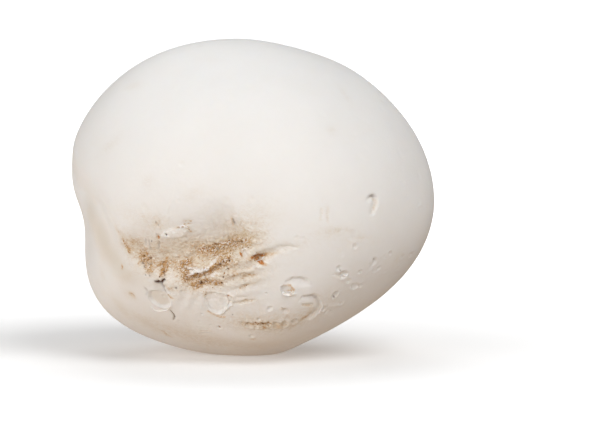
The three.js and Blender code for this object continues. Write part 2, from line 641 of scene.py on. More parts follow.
LIP = places((-35, -40), (-27, -38.5), (-20, -36), (-13, -31), (-6, -28))
LIP_CRACK = places((-34, -42), (-24, -40.5), (-17, -37.5), (-10, -31.5))
SHORT_CRACK = places((-29, -49), (-24, -45.5), (-12, -43.5))
CORNER_CRACK = places((-49, -41), (-45.5, -47), (-39, -53))
HOLE_AND_TRAIL = places((2, -30), (6, -31.5), (10, -30.5), (17, -27), (27, -25))
HOLE_WALL = places((1, -22), (2, -29), (-1, -36))
NICK = places((64.6, 0.6), (66.9, 1.4), (68.2, -0.6), (68.0, -3.6), (66.6, -6.8), (63.8, -9.4))
CRESCENT = places((30, -53), (36, -51.5), (38.5, -56), (35, -62), (31, -64.5))
SHELL_TEAR = places((18, -46), (24, -42.5), (31, -43), (34, -47))
LEFT_RIM = places((-69, -14.5), (-66.5, -19.6), (-64.5, -24.6), (-61.8, -27.6))
STAR = places((-48.6, -44.1), (-46.2, -45.2), (-43.8, -42.8))
CROWS_FOOT = places((-53.7, -47.1), (-52.5, -48.7), (-53.2, -50.6))
HAIR_CRACK = places((-40.4, -58.8), (-38.5, -60.8), (-38.0, -62.4), (-38.5, -64.4))

# The folds of the base, each from left to right
FOLDS: list[Mark] = [
    *BROAD_FOLDS,
    Fold(LIP, (0, -2.4, -2.6, -2.2, 0), 2.2, 2.2),
    Fold(LIP_CRACK, (0, 2.6, 2.6, 0), 1.8, 2.6),
    Fold(SHORT_CRACK, (0, 2.2, 0), 2, 2),
    Fold(CORNER_CRACK, (0.5, 3, 0), 2.2, 3),
    Fold(HOLE_AND_TRAIL, (0, 3.2, 2.0, 0.9, 0), 2.6, 1.7),
    Fold(HOLE_WALL, (0, -1.6, 0), 3, 3),
    Fold(NICK, (0.9, 1.4, 1.7, 1.8, 1.3, 0), 0.7, 2.1),
    Fold(CRESCENT, (0, 1.2, 1.5, 1.5, 0), 0.8, 2.6),
    Fold(SHELL_TEAR, (0, 1.0, 1.0, 0), 0.7, 3.0),
]

OVAL_SCAR = Patch(shown(-46, -53), 7, 5.2, -12)
TRIANGLE_SCAR = Patch(shown(-15.5, -54.5), 7.4, 6.4, 25, 0.16)
TORN_PATCH = Patch(shown(-38, -18.5), 8, 3.2, 14)
SHELL_OVAL = Patch(shown(21, -48.5), 3.6, 2.4, -35)
GREY_PAD = Patch(shown(-24, -32), 7, 3.4, 12)

# Each pit: across, up, radius and depth.
PITS = (
    (-46.3, -44.2, 1.2, 2.0),
    (51, -40, 1.6, 1.3),
    (48.5, -36.5, 1.0, 0.9),
    (57, -46, 1.5, 1.1),
    (67.5, -33, 1.1, 1.0),
    (69.5, -36.5, 1.0, 0.9),
    (46.5, -50.5, 1.3, 1.1),
    (57, -25, 1.1, 0.6),
    (20.5, -59, 1.3, 0.9),
    (12, -58, 1.1, 0.7),
    (25, -64.5, 1.3, 1.0),
    (-1.5, -29, 1.8, 1.6),
    (-43.5, -36, 2.1, 1.8),
    (1, -66.5, 1.5, 1.0),
    (4.5, -66.1, 1.5, 1.0),
    (8, -66.5, 1.5, 1.0),
    (11.5, -66.1, 1.5, 1.0),
    (15.5, -66.5, 1.5, 1.0),
    (19.5, -66.1, 1.5, 1.0),
)

# Patches, pits and creases of the torn base
MARKS: list[Mark] = [
    Scar(OVAL_SCAR, 1.2, 0.8),
    Scar(TRIANGLE_SCAR, 1.1, 0.8, -45),
    Scar(TORN_PATCH, -1.1, 0.5, 90, 0.75),
    Scar(SHELL_OVAL, 1.3, 0.7),
    Scar(GREY_PAD, -1.6, 0, 90, 0.6),
    *(Pit(shown(across, up), radius, deep) for across, up, radius, deep in PITS),
    Creases(shown(-4, -39), 11, 16, 5, 0.5),
    Creases(shown(-31, -41), 15, 62, 6.5, 0.5),
]


# Finer relief that only this mesh holds

# Tiny pits of the base: across, up, radius and depth.
FINE_PITS = (
    (-46.5, -20.3, 0.8, 0.9),
    (-41.8, -18.6, 0.7, 0.9),
    (-50.2, -22.3, 0.6, 0.7),
    (-53.7, -30.0, 0.8, 0.9),
    (-50.7, -31.3, 0.8, 0.8),
    (-54.3, -34.1, 0.9, 0.8),
    (-43.4, -37.8, 0.9, 1.0),
    (-43.6, -42.9, 0.9, 1.1),
    (-53.5, -40.2, 0.7, 0.5),
    (-37.4, -47.3, 0.7, 0.7),
    (-34.2, -48.9, 0.6, 0.4),
    (-9.1, -32.6, 0.8, 1.0),
    (-10.4, -36.3, 0.7, 0.6),
    (-10.2, -39.7, 0.7, 0.8),
    (-12.4, -41.6, 0.7, 0.7),
    (-10.1, -51.3, 0.8, 0.6),
    (-23.3, -60.8, 0.7, 0.4),
    (-14.4, -67.6, 1.0, 0.6),
    (2.7, -72.3, 1.2, 0.7),
    (9.4, -68.1, 1.2, 0.7),
    (49.1, -37.6, 0.7, 0.7),
    (49.4, -55.1, 0.9, 0.7),
    (53.8, -43.2, 1.1, 0.6),
    (55.9, -45.5, 0.9, 0.8),
    (59.8, -45.8, 0.9, 0.8),
    (59.8, -38.3, 0.9, 0.8),
    (67.1, -31.9, 0.9, 1.2),
    (75.3, -28.7, 1.0, 1.0),
    (81.9, -30.5, 1.0, 0.9),
    (86.5, -29.3, 1.1, 1.1),
    (79.1, -36.5, 1.0, 0.5),
    (40.8, -58, 1.3, 0.8),
    (82.5, 8.6, 1.0, 0.7),
    (91.0, -2.0, 1.1, 0.9),
    (91.2, -5.2, 0.9, 0.7),
    (84.4, 1.6, 0.9, 0.5),
    (-60.9, -49.9, 1.0, 0.5),
    (26.5, -20.8, 0.9, 0.25),
    (29.6, -20.8, 0.9, 0.25),
)

FINE_RELIEF: list[Mark] = [
    *(Pit(shown(across, up), radius, deep) for across, up, radius, deep in FINE_PITS),
    # pores: low on the right, round the pits there, and all over the torn base
    Pores(oval(70, -36, 16, 8, 32), 70, 0.75, 0.35, 1),
    Pores(oval(50, -55, 16, 8, 28), 60, 0.75, 0.35, 2),
    Pores(oval(48, -39, 5, 5), 14, 0.6, 0.5, 3),
    Pores(oval(67, -35, 4, 6, -20), 12, 0.6, 0.5, 4),
    Pores(oval(-28, -36, 44, 20, 4), 130, 0.7, 0.6, 5),
    Pores(oval(12, -66, 26, 6, 2), 34, 0.8, 0.5, 6),
    Pores(oval(-20, -70, 40, 10), 40, 0.8, 0.3, 7),
    Pores(oval(66, 42, 18, 9, -40), 22, 0.9, 0.3, 8),
    Pores(oval(84, 0, 8, 12), 18, 0.9, 0.3, 9),
    # the torn outline of the three cornered scar
    Fold(
        places((-22.8, -54.6), (-20.8, -58.8), (-16.4, -61.0), (-11.8, -61.6)),
        (0.3, 0.6, 0.6, 0.3),
        0.5,
        0.5,
    ),
    Fold(places((-8.6, -52.4), (-8.9, -56.2), (-9.6, -59)), (0.5, 0.5, 0.2), 0.5, 0.5),
    # the left rim of the hollow
    Fold(LEFT_RIM, (0, 0.9, 1.1, 0), 0.9, 2.6),
    # fine upright scratches above it
    Fold(places((-53.1, -20.5), (-53.2, -24.5)), (0, 0.5), 0.5, 0.5),
    Fold(places((-51.4, -21.5), (-50.9, -26.8)), (0.5, 0), 0.5, 0.5),
    Fold(places((-46.3, -22.5), (-46.3, -27.6)), (0.6, 0), 0.5, 0.5),
    Fold(places((-48.9, -23.5), (-48.8, -26.2)), (0.4, 0), 0.4, 0.4),
    # the double stroke above the torn patch and the short nick on its right
    Fold(places((-33, -11.8), (-29, -11.8)), (0.6, 0.3), 0.6, 0.6),
    Fold(places((-32.7, -13.3), (-29.2, -13.2)), (0.6, 0.3), 0.6, 0.6),
    Fold(places((-7.4, -10.2), (-6.7, -12), (-6.1, -14.2)), (0.7, 1.0, 0.3), 0.7, 0.7),
    Fold(places((-17.9, -12.2), (-16.5, -14.5), (-15.3, -17.0)), (0.2, 0.5, 0.1), 0.9, 0.9),
    # the star shaped break and the crack that runs from it
    Fold(STAR, (0.8, 1.6, 0.9), 0.6, 0.6),
    Fold(
        places((-46.1, -45.1), (-45.1, -48.4), (-41.7, -51.8), (-40.5, -53)),
        (1.6, 1.0, 0.7, 0.2),
        0.6,
        0.7,
    ),
    Fold(places((-42.0, -50.1), (-38.2, -50.2)), (-0.6, -0.8), 0.6, 0.6),
    # the faint crow's foot on its left
    Fold(CROWS_FOOT, (0.5, 0.6, 0.2), 0.6, 0.6),
    # a hair thin crack below the oval scar
    Fold(HAIR_CRACK, (0.4, 0.7, 0.7, 0.2), 0.45, 0.45),
    # striations that fan out to the right of the cracks
    Fold(places((-8.6, -41.2), (-4.6, -40.3), (-1.5, -39)), (0.2, 0.6, 0.1), 0.6, 0.6),
    Fold(places((-3.2, -42.6), (0.4, -40.7), (4.4, -39.9)), (0.2, 0.8, 0.2), 0.7, 0.7),
    Fold(places((-5.0, -37.3), (-1.0, -36.2)), (0.5, 0.2), 0.6, 0.6),
    Fold(places((-7.4, -35.6), (-4.6, -34.9)), (0.5, 0.2), 0.6, 0.6),
    Fold(places((-1.2, -45.8), (3.9, -44.3)), (0.6, 0.2), 0.6, 0.6),
    Fold(places((-6.5, -45.2), (-2.6, -43.9), (1.6, -42.9)), (0.2, 0.5, 0.1), 0.6, 0.6),
    Fold(places((-3.6, -47.3), (-1.0, -46.6)), (0.6, 0.2), 0.6, 0.6),
    # streaks on the right of the three cornered scar
    Fold(places((-7.6, -54.8), (0.4, -54.1), (4.6, -53.5)), (0.4, 1.0, 0.2), 0.7, 0.8),
    Fold(places((-5.5, -51.4), (-0.5, -52)), (0.3, 0.5), 0.6, 0.6),
    # wrinkles low on the left
    *(Fold(places((-24.0, up), (-19.4, up + 0.1)), (0.4, 0.3), 0.5, 0.5) for up in (-68.6, -69.8, -71.0)),
    Fold(places((-44, -69.9), (-41.6, -71.9)), (0.4, 0.5), 0.8, 0.8),
    # the raised left edge of the row of pits
    Fold(places((-2.2, -66.0), (3.8, -66.1)), (0.6, 0.5), 0.6, 0.9),
    # the arch inside the crescent and its ochre end
    Fold(
        places((28.2, -52.9), (30.6, -51.6), (34.1, -51.5), (37.2, -53.1)),
        (0.3, 0.9, 0.9, 0.4),
        0.5,
        1.3,
    ),
    Fold(places((29.5, -55.9), (34.6, -55.9)), (0.5, 0.6), 0.7, 0.7),
    Fold(places((30.0, -63.3), (32.6, -62.2), (34.6, -60.4)), (0.9, 1.2, 0.4), 0.8, 1.3),
    # the tear line under the shell shaped scar
    Fold(places((19.0, -50.9), (22.5, -50.3), (26.4, -50.6)), (-0.3, -0.8, -0.2), 0.6, 0.7),
    # short slanted nicks of the right side
    Fold(places((48.3, -39.9), (51, -39.1), (54.4, -39.2)), (0.5, 1.0, 0.2), 0.6, 1.2),
    Fold(places((54.6, -46), (57.4, -45.3), (60.4, -46.2)), (0.3, 0.7, 0.3), 0.6, 0.8),
    Fold(places((46.1, -51.9), (48.6, -48.2)), (0.9, 0.3), 0.8, 0.8),
    Fold(places((65.0, -36.4), (66.2, -34.6), (67.4, -32.2)), (0.3, 0.9, 0.6), 0.7, 0.7),
    Fold(places((38.6, -58.9), (40.2, -57.1)), (0.7, 0.3), 0.7, 0.7),
    Fold(places((41.2, -60), (43.2, -57.8)), (0.7, 0.3), 0.7, 0.7),
    Fold(places((42.8, -57.1), (50.7, -55.3)), (-0.3, -0.3), 1.0, 1.0),
    # the caught top end of the nick
    Fold(places((64.2, 0.8), (66.0, 1.7), (67.8, 1.1)), (0.5, 0.9, 0.5), 0.5, 0.6),
    Fold(places((68.6, 0.4), (69.3, -2.6), (68.4, -5.8), (66.0, -8.6)), (-0.3, -0.6, -0.6, -0.1), 0.8, 0.9),
    # two short upright lines on the right of the hollow
    Fold(places((39.6, -6.0), (39.0, -10.6)), (0.3, 0.3), 0.7, 0.7),
    Fold(places((42.6, -5.4), (42.8, -11.4)), (0.3, 0.3), 0.7, 0.7),
    # the far side of the crease, and faint lines on the right
    Fold(places((17.0, -25.6), (23.3, -25.2), (29, -26.2)), (0.2, 0.4, 0), 0.8, 0.8),
    Fold(places((42.0, -16.5), (47, -17.1), (52, -16.6)), (0, 0.25, 0), 0.9, 0.9),
    Fold(places((56, -20.6), (63.5, -21.6)), (0.25, 0.2), 0.8, 0.8),
    Fold(places((90.4, 13.8), (91.0, 11.2)), (0.3, 0.3), 0.9, 0.9),
]


# Where the colour of the base lies

STAINS: dict[Stain, list[Mark]] = {
    Stain.TINT: [
        Smudge(oval(-25, -28, 34, 12, 3), 0.26),
        Smudge(oval(-12, -23, 15, 5, 14), 0.45),
        Smudge(oval(-42, -28, 20, 7, -6), 0.25),
        Smudge(oval(-62, -24, 9, 5, -50), 0.35),
        Smudge(oval(-47, -13, 9, 4), 0.12),
        # painted shade: greyer where the dome turns in above the hollow and under its overhanging rim
        Smudge(oval(-58, -8, 15, 6, -12), 0.13),
        Smudge(oval(2, -8, 15, 8, 10), 0.14),
        Smudge(oval(-5, -14.5, 13, 5.5, 12), 0.36),
        Smudge(oval(-1, -20, 9, 4.5, 20), 0.42),
        Smudge(oval(4, -63, 14, 5), 0.22),
        Smudge(oval(-4, -40, 13, 6, 14), 0.22),
        Smudge(oval(2, -22, 9, 5), 0.20),
        Smudge(oval(-2, -53.5, 9, 3), 0.25),
        Smudge(oval(8, -67, 24, 6), 0.35),
        Smudge(oval(-30, -73, 34, 9), 0.28),
        Smudge(oval(30, -62, 22, 9, 24), 0.22),
        Smudge(oval(14, -27.5, 16, 3, 12), 0.22),
        Smudge(oval(46.5, -16.8, 8, 1.8), 0.22),
        Smudge(oval(60, -21.3, 5, 1.6, -6), 0.15),
        Smudge(oval(50, -20, 20, 6, -10), 0.08),
        Smudge(Patch(facing(-20, -86), 24, 19, 10), 0.3),
        Smudge(Patch(facing(-150, -62), 20, 9, 30), 0.14),
        Smudge(Patch(facing(165, -30), 16, 8, -20), 0.1),
        Smudge(Patch(facing(120, 15), 14, 6, 40), 0.08),
    ],
    Stain.SOIL: [
        Smudge(Patch(facing(-40, -84), 15, 11, 25), 0.22),
        Smudge(Patch(facing(60, -80), 10, 6, -15), 0.18),
        Smudge(oval(-5.8, -22.2, 9, 3.4, 18), 0.62),
        Smudge(oval(-14.5, -26.0, 9.5, 3.4, 24), 0.60),
        Smudge(oval(-21, -25.8, 7, 3.4, 10), 0.40),
        Smudge(oval(1, -22, 7.5, 4.4), 0.30),
        Smudge(oval(-27, -25, 8, 7), 0.34),
        Smudge(oval(-10, -29, 14, 6, 24), 0.30),
        Smudge(oval(-20, -40, 17, 7, 14), 0.34),
        Smudge(oval(-36, -42, 18, 9), 0.20),
        Smudge(oval(-50, -28, 14, 12), 0.26),
        Smudge(oval(-2, -41, 12, 7, 14), 0.26),
        Smudge(oval(-24, -47, 14, 6), 0.26),
        Smudge(oval(-40, -22, 18, 9), 0.18),
        Smudge(oval(-31.3, -34.5, 4.4, 3.6), 0.72),
        Smudge(oval(-40, -33.5, 9, 3.4, 4), 0.38),
        Smudge(oval(-62.4, -25.6, 4.4, 2.6, -50), 0.5),
        Smudge(oval(-59.4, -22.6, 4.2, 2.2, -14), 0.42),
        Smudge(oval(-53.3, -31.2, 5.8, 3.8, -48), 0.62),
        Smudge(oval(-50.4, -37.2, 2.4, 1.6), 0.5),
        Smudge(oval(-46.8, -13, 2.6, 3), 0.38),
        Smudge(oval(-43.1, -34.6, 2.2, 1.8), 0.85),
        Smudge(oval(-43.3, -38.2, 1.9, 1.9), 0.8),
        Smudge(oval(-41, -47.6, 3.4, 1.6, -8), 0.42),
        Smudge(oval(-40.3, -51.9, 2.4, 1.1), 0.7),
        Smudge(oval(-60.9, -49.9, 1.6, 1.6), 0.8),
        Smudge(oval(-59.6, -51.6, 1.6, 1.2), 0.45),
        Smudge(oval(-27.2, -46.4, 2.8, 1.8), 0.5),
        Smudge(oval(-7, -33, 5, 3), 0.3),
        Smudge(oval(6.2, -31.8, 4.8, 2.8, 8), 0.55),
        Smudge(oval(12, -29.6, 6, 1.6, 16), 0.35),
        Smudge(oval(9, -67, 11, 2.6), 0.35),
        Streak(
            places((-32, -40.6), (-25.5, -39.4), (-19.8, -37.6), (-14.1, -34.6), (-11, -32)),
            (0.5, 0.7, 0.7, 0.8, 0.4),
            2.1,
        ),
        Streak(places((-25.6, -45.4), (-20, -44.3), (-13.6, -44.6)), (0.9, 0.8, 0.5), 1.3),
        Streak(places((-37.9, -15.7), (-32.6, -14.3), (-29.2, -17.2)), (0.4, 0.8, 0.6), 0.9),
        Streak(places((-33, -11.8), (-29, -11.8)), (0.7, 0.7), 0.45),
        Streak(places((-32.7, -13.4), (-29.2, -13.2)), (0.7, 0.7), 0.45),
        Streak(places((-7.6, -54.7), (0.4, -54.1), (4.6, -53.6)), (0.25, 0.7, 0.3), 0.9),
        Streak(places((-2.2, -65.9), (6, -65.8), (13.6, -65.4)), (0.5, 0.7, 0.6), 1.2),
        Streak(places((-3.2, -42.4), (0.4, -40.7), (4.4, -39.9)), (0.2, 0.45, 0.3), 0.9),
        Streak(places((-8.6, -41.2), (-1.5, -39)), (0.3, 0.3), 0.8),
        Streak(places((-1.2, -45.8), (3.9, -44.3)), (0.35, 0.3), 0.8),
        Streak(places((-3.6, -47.3), (-1.0, -46.6)), (0.5, 0.4), 0.8),
        Streak(places((-44, -69.9), (-41.6, -71.9), (-39.6, -72.8)), (0.5, 0.6, 0.3), 1.2),
        Streak(places((-24, -69.7), (-19.4, -69.6)), (0.4, 0.3), 0.8),
        Streak(places((39.6, -5.6), (39.0, -11)), (0.28, 0.3), 0.8),
        Streak(places((42.6, -5.0), (42.8, -11.8)), (0.3, 0.26), 0.8),
        Streak(places((-22.8, -51.4), (-21.6, -49.6)), (0.4, 0.4), 0.8),
        Streak(LEFT_RIM, (0.2, 0.5, 0.8, 0.7), 1.1),
    ],
    Stain.RUST: [
        Smudge(oval(-62.7, -25.8, 1.6, 1.1), 0.5),
        Smudge(oval(-65.7, -35.8, 0.9, 0.9), 1.2),
        Smudge(oval(-42, -31.3, 0.9, 0.9), 0.7),
        Smudge(oval(-46.5, -20.3, 0.8, 1.1), 1.3),
        Smudge(oval(-50.5, -37.4, 1.6, 1.1), 0.4),
        Smudge(oval(-43, -34.5, 1.5, 1.2), 0.6),
        Smudge(oval(-19.8, -38.5, 2.0, 1.0, 30), 0.75),
        Smudge(oval(-17, -36.2, 1.6, 1.0, 35), 0.6),
        Smudge(oval(-10.1, -51.3, 1.0, 0.9), 1.6),
        Smudge(oval(-2.9, -29.3, 0.7, 1.2, 35), 1.5),
        Smudge(oval(5.6, -30.8, 4.0, 1.1, 8), 1.5),
        Smudge(oval(7.4, -33.6, 2.4, 0.9, -25), 1.5),
        Smudge(oval(12.5, -29.4, 3.0, 0.7, 8), 0.5),
        Smudge(oval(9.4, -68.0, 1.3, 1.0), 0.7),
        Smudge(oval(17.2, -67.2, 2.0, 1.2), 0.45),
        Streak(
            places((19.4, -46.4), (22.4, -45.8), (24.6, -48.2), (23.0, -50.6)),
            (0.3, 0.6, 0.6, 0.4),
            0.7,
        ),
        Streak(places((20.6, -49.8), (23.6, -48.6)), (0.5, 0.5), 0.6),
        Smudge(oval(19.4, -58.2, 1.6, 1.0), 0.35),
        Smudge(oval(30.6, -62.6, 2.6, 1.4, 24), 0.55),
        Smudge(oval(33.6, -59.6, 1.4, 3.0, -12), 0.28),
        Smudge(oval(49.8, -39.8, 2.2, 1.2, 16), 0.28),
        Smudge(oval(3.5, -74, 1.4, 1.4), 0.3),
        Smudge(oval(-5, -22.4, 3.4, 1.6, 14), 0.35),
        Smudge(oval(-12, -26.4, 4.0, 1.4, 20), 0.3),
        Streak(places((-20.6, -59.2), (-16.4, -61.6), (-11.6, -62.2)), (0.7, 0.5, 0.7), 0.6),
        Streak(places((66, 0.8), (68.2, -1.4), (67.3, -5), (65.2, -8)), (0.25, 0.3, 0.35, 0.1), 0.8),
        Streak(places((-8.0, -10.2), (-7.0, -13.8)), (0.4, 0.4), 0.6),
        Streak(places((29.6, -56.3), (34.6, -56.2)), (0.4, 0.5), 0.6),
    ],
    Stain.DARK: [
        Spot(oval(-41.8, -18.6, 0.55, 0.55), 0.9),
        Spot(oval(-50.2, -22.3, 0.41, 0.44), 0.7),
        Spot(oval(-53.7, -30.0, 0.52, 0.44), 0.85),
        Spot(oval(-50.7, -31.3, 0.44, 0.59), 0.85),
        Spot(oval(-53.2, -32.0, 0.37, 0.44), 0.6),
        Spot(oval(-54.5, -34.0, 0.52, 0.37), 0.8),
        Spot(oval(-53.8, -35.2, 0.33, 0.52), 0.6),
        Spot(oval(-43.2, -38.0, 0.67, 0.52), 0.8),
        Spot(oval(-42.6, -39.6, 0.37, 0.37), 0.6),
        Spot(oval(-43.6, -42.9, 0.63, 0.52), 0.95),
        Spot(oval(-53.5, -40.2, 0.44, 0.3), 0.6),
        Spot(oval(-51.4, -40.5, 0.26, 0.37), 0.5),
        Spot(oval(-47.8, -12.4, 0.52, 0.59), 0.55),
        Spot(oval(-46.4, -14.2, 0.37, 0.37), 0.4),
        Spot(oval(-37.4, -47.3, 0.52, 0.44), 0.75),
        Spot(oval(-34.2, -46.1, 0.37, 0.3), 0.35),
        Spot(oval(-34.2, -48.9, 0.37, 0.37), 0.45),
        Spot(oval(-9.1, -32.6, 0.44, 0.63), 1.0),
        Spot(oval(-10.4, -36.3, 0.44, 0.33), 0.45),
        Spot(oval(-10.2, -39.7, 0.44, 0.44), 0.9),
        Spot(oval(-12.4, -41.6, 0.41, 0.55), 0.8),
        Spot(oval(-13.7, -47.3, 0.41, 0.33), 0.5),
        Spot(oval(-31.0, -40.4, 0.52, 0.44), 0.55),
        Spot(oval(-25.6, -39.0, 0.67, 0.52), 0.7),
        Spot(oval(-22.3, -41.4, 0.52, 0.52), 0.55),
        Spot(oval(-24.5, -45.4, 0.74, 0.44, 35), 1.0),
        Spot(oval(-23.3, -60.8, 0.44, 0.44), 0.3),
        Spot(oval(-14.4, -67.6, 0.67, 0.52), 0.4),
        Spot(oval(-7.4, -60.8, 0.52, 0.37), 0.45),
        Spot(oval(49.1, -37.6, 0.44, 0.37), 0.6),
        Spot(oval(46.5, -51.6, 0.44, 0.44), 0.65),
        Spot(oval(67.1, -31.9, 0.52, 0.44), 0.5),
        Spot(oval(9.2, -65.5, 0.67, 0.37), 0.55),
        Spot(oval(18.6, -57.4, 0.67, 0.37, 20), 0.35),
        Spot(oval(25.8, -63.2, 0.52, 0.52), 0.35),
        Spot(oval(98.2, 1.6, 0.52, 0.67), 0.5),
        Streak(STAR, (1.3, 1.8, 1.3), 0.6),
        Streak(places((-45.6, -46.6), (-46.2, -45.2)), (0.9, 1.3), 0.5),
        Streak(places((-46.1, -45.1), (-45.1, -48.4), (-41.7, -51.8)), (1, 0.6, 0.4), 0.45),
        Streak(HAIR_CRACK, (0.2, 0.5, 0.6, 0.1), 0.35),
        Streak(places((-14.4, -34.4), (-12.2, -32.5)), (1, 1), 0.42),
        Streak(places((-53.1, -21.2), (-53.2, -24.2)), (0.35, 0.3), 0.5),
        Streak(places((-51.4, -22), (-50.9, -26.4)), (0.3, 0.3), 0.45),
        Streak(places((-46.3, -22.7), (-46.3, -27.4)), (0.4, 0.25), 0.45),
        Streak(places((-47.8, -18.5), (-45.2, -18.6)), (0.35, 0.2), 0.45),
        Streak(places((-7.2, -10.6), (-6.2, -13.6)), (0.6, 0.5), 0.45),
        Streak(places((64.4, 1.0), (66.4, 1.9), (67.8, 1.0)), (0.6, 0.7, 0.3), 0.5),
        Streak(places((3.6, -30.0), (6.4, -30.4), (9.2, -29.6)), (0.5, 0.75, 0.3), 0.5),
        Streak(places((5.4, -33.4), (6.8, -32.6), (8.6, -33.2)), (0.5, 0.6, 0.3), 0.45),
        Streak(places((30.6, -51.4), (34.1, -51.4), (37.0, -52.8)), (0.2, 0.3, 0.3), 0.5),
        Streak(CROWS_FOOT, (0.3, 0.35, 0.2), 0.6),
    ],
    Stain.TORN_AND_HIGHLIGHT: [
        Spot(TORN_PATCH, 0.9),
        Smudge(oval(-41.6, -20.4, 5, 2.6, 8), 0.5),
        Spot(Patch(TRIANGLE_SCAR.at, 6.6, 5.8, 25, 0.16), 0.6),
        Streak(
            places((-11.0, -50.6), (-9.6, -55.0), (-11.4, -60.2), (-16.4, -60.4)),
            (0.9, 1, 0.8, 0.6),
            1.0,
        ),
        Streak(places((-50.5, -56.9), (-46.8, -59.0), (-42, -58.8), (-39.6, -56.2)), (0.7, 1, 1, 0.5), 0.9),
        Streak(
            places((-30.5, -35.4), (-26.5, -36.6), (-20.4, -35.4), (-16.2, -31.4), (-14.0, -29.9)),
            (0.6, 0.9, 1, 1, 0.6),
            1.1,
        ),
        Smudge(oval(-0.6, -28.7, 2.2, 2.0), 0.85),
        Smudge(oval(9.6, -33.4, 2.2, 1.3, 20), 1.0),
        Smudge(oval(7.6, -31.9, 1.6, 0.6, 12), 1.0),
        Smudge(oval(3.4, -32.4, 1.2, 0.7), 0.9),
        Smudge(oval(5.6, -35.8, 4.2, 1.6, 6), 0.75),
        Smudge(oval(4.0, -31.2, 0.8, 0.8), 0.8),
        Streak(places((-42.0, -50.1), (-38.2, -50.2)), (0.9, 1), 0.8),
        Streak(places((-38.4, -53.4), (-39.7, -56.8)), (0.6, 0.5), 0.7),
        Smudge(oval(-56.5, -29.6, 2.4, 4.6, -30), 0.4),
        Smudge(oval(-25, -37.4, 6, 1.8, 6), 0.5),
        Smudge(oval(-17, -40, 4, 2.4, 20), 0.35),
        Streak(places((-7.2, -55.9), (-3, -55.8), (1.0, -55.7)), (0.7, 0.5, 0.8), 0.8),
        Streak(places((-8.4, -42.4), (-3.4, -41.5), (0.6, -39.5)), (0.3, 0.7, 0.3), 0.6),
        Streak(places((-2.6, -44.0), (1.4, -42.2), (5.4, -41.4)), (0.3, 0.8, 0.4), 0.6),
        Streak(places((-6.2, -38.6), (-1.2, -37.4)), (0.6, 0.4), 0.6),
        Streak(places((-0.8, -47.0), (4.4, -45.7)), (0.6, 0.4), 0.6),
        Streak(places((-33, -39.0), (-26, -38.2), (-20, -37.0)), (0.5, 0.7, 0.5), 0.6),
        Streak(places((-27, -42.8), (-20, -41.6), (-12, -38.4)), (0.5, 0.7, 0.5), 0.7),
        Streak(places((-26, -46.8), (-18, -46.0), (-12, -46.2)), (0.4, 0.6, 0.4), 0.6),
        Spot(oval(20.2, -46.2, 2.2, 1.5, -35), 0.5),
        Streak(places((19.2, -50.9), (25.8, -50.5)), (1, 0.8), 0.7),
        # painted highlights: most whites from here on sit on the lit lower rims of the pits and crescents
        # low on the right, and along the raised right edge of the nick
        Smudge(oval(32, -54.0, 3.2, 1.0), 0.6),
        Streak(places((39.0, -54.4), (39.4, -57.6), (37.8, -61.2)), (0.7, 0.8, 0.5), 0.8),
        Smudge(oval(32.6, -63.9, 2.2, 0.8, 18), 0.8),
        Smudge(oval(51, -41.4, 3.2, 1.0, 14), 0.55),
        Smudge(oval(54, -43.4, 1.4, 1.8, -30), 0.55),
        Smudge(oval(57.6, -47, 2.8, 0.8, 6), 0.7),
        Smudge(oval(67, -36.6, 1.4, 2.0, -20), 0.5),
        Smudge(oval(47.8, -50.2, 0.9, 2.4, -30), 0.45),
        Smudge(oval(21.4, -59.6, 1.8, 1.2), 0.5),
        Smudge(oval(13, -58.8, 1.6, 1.0), 0.4),
        *(Smudge(oval(across, -67.8, 1.0, 0.7), 0.55) for across in (1.2, 3.6, 5.2, 7.0)),
        Streak(places((69.4, -2), (69.0, -5.6), (66.6, -9.2)), (0.5, 0.7, 0.6), 1.0),
        Smudge(oval(66, 0.0, 1.4, 0.7), 0.4),
        Smudge(oval(57.5, -24.6, 1.2, 1.4), 0.35),
        Smudge(oval(75.6, -29.4, 1.0, 1.0), 0.5),
        Smudge(oval(91.3, -3.6, 0.8, 1.8), 0.5),
        Smudge(oval(83.2, 8.0, 0.9, 0.9), 0.5),
        Smudge(oval(81.7, -4.4, 0.8, 1.8), 0.35),
    ],
    Stain.CREAM: [
        # painted shade: a wide grey-cream band down the left valley, darker where the crease lies in shade
        Streak(
            places((-86, 4), (-82.5, -5), (-77.5, -17), (-72, -29), (-64, -40), (-54, -44)),
            (0, 0.8, 0.95, 0.95, 0.8, 0.1),
            6.0,
        ),
        Smudge(oval(-66, -58, 8, 3.6, -42), 0.4),
        Smudge(oval(-76, -40, 4, 2.4, -60), 0.25),
        Smudge(oval(-52, -66, 9, 3.2, -28), 0.4),
        Smudge(oval(-62, -50, 6, 4), 0.25),
        Smudge(oval(-6, -76, 40, 7), 0.5),
        Spot(Patch(OVAL_SCAR.at, 6.2, 4.4, -12), 0.7),
        Smudge(oval(-36, -24.5, 7, 3.4, 4), 0.55),
        Spot(GREY_PAD, 0.45),
        Smudge(oval(2, -42, 7, 5, 14), 0.3),
        Smudge(oval(-10, -24, 9, 4), 0.25),
    ],
}


# Blemishes by seeded chance, and noise

SEED = 11
NOISE_ROUGHNESS = 0.9
NOISE_GAIN = 2.1

Span = tuple[float, float]


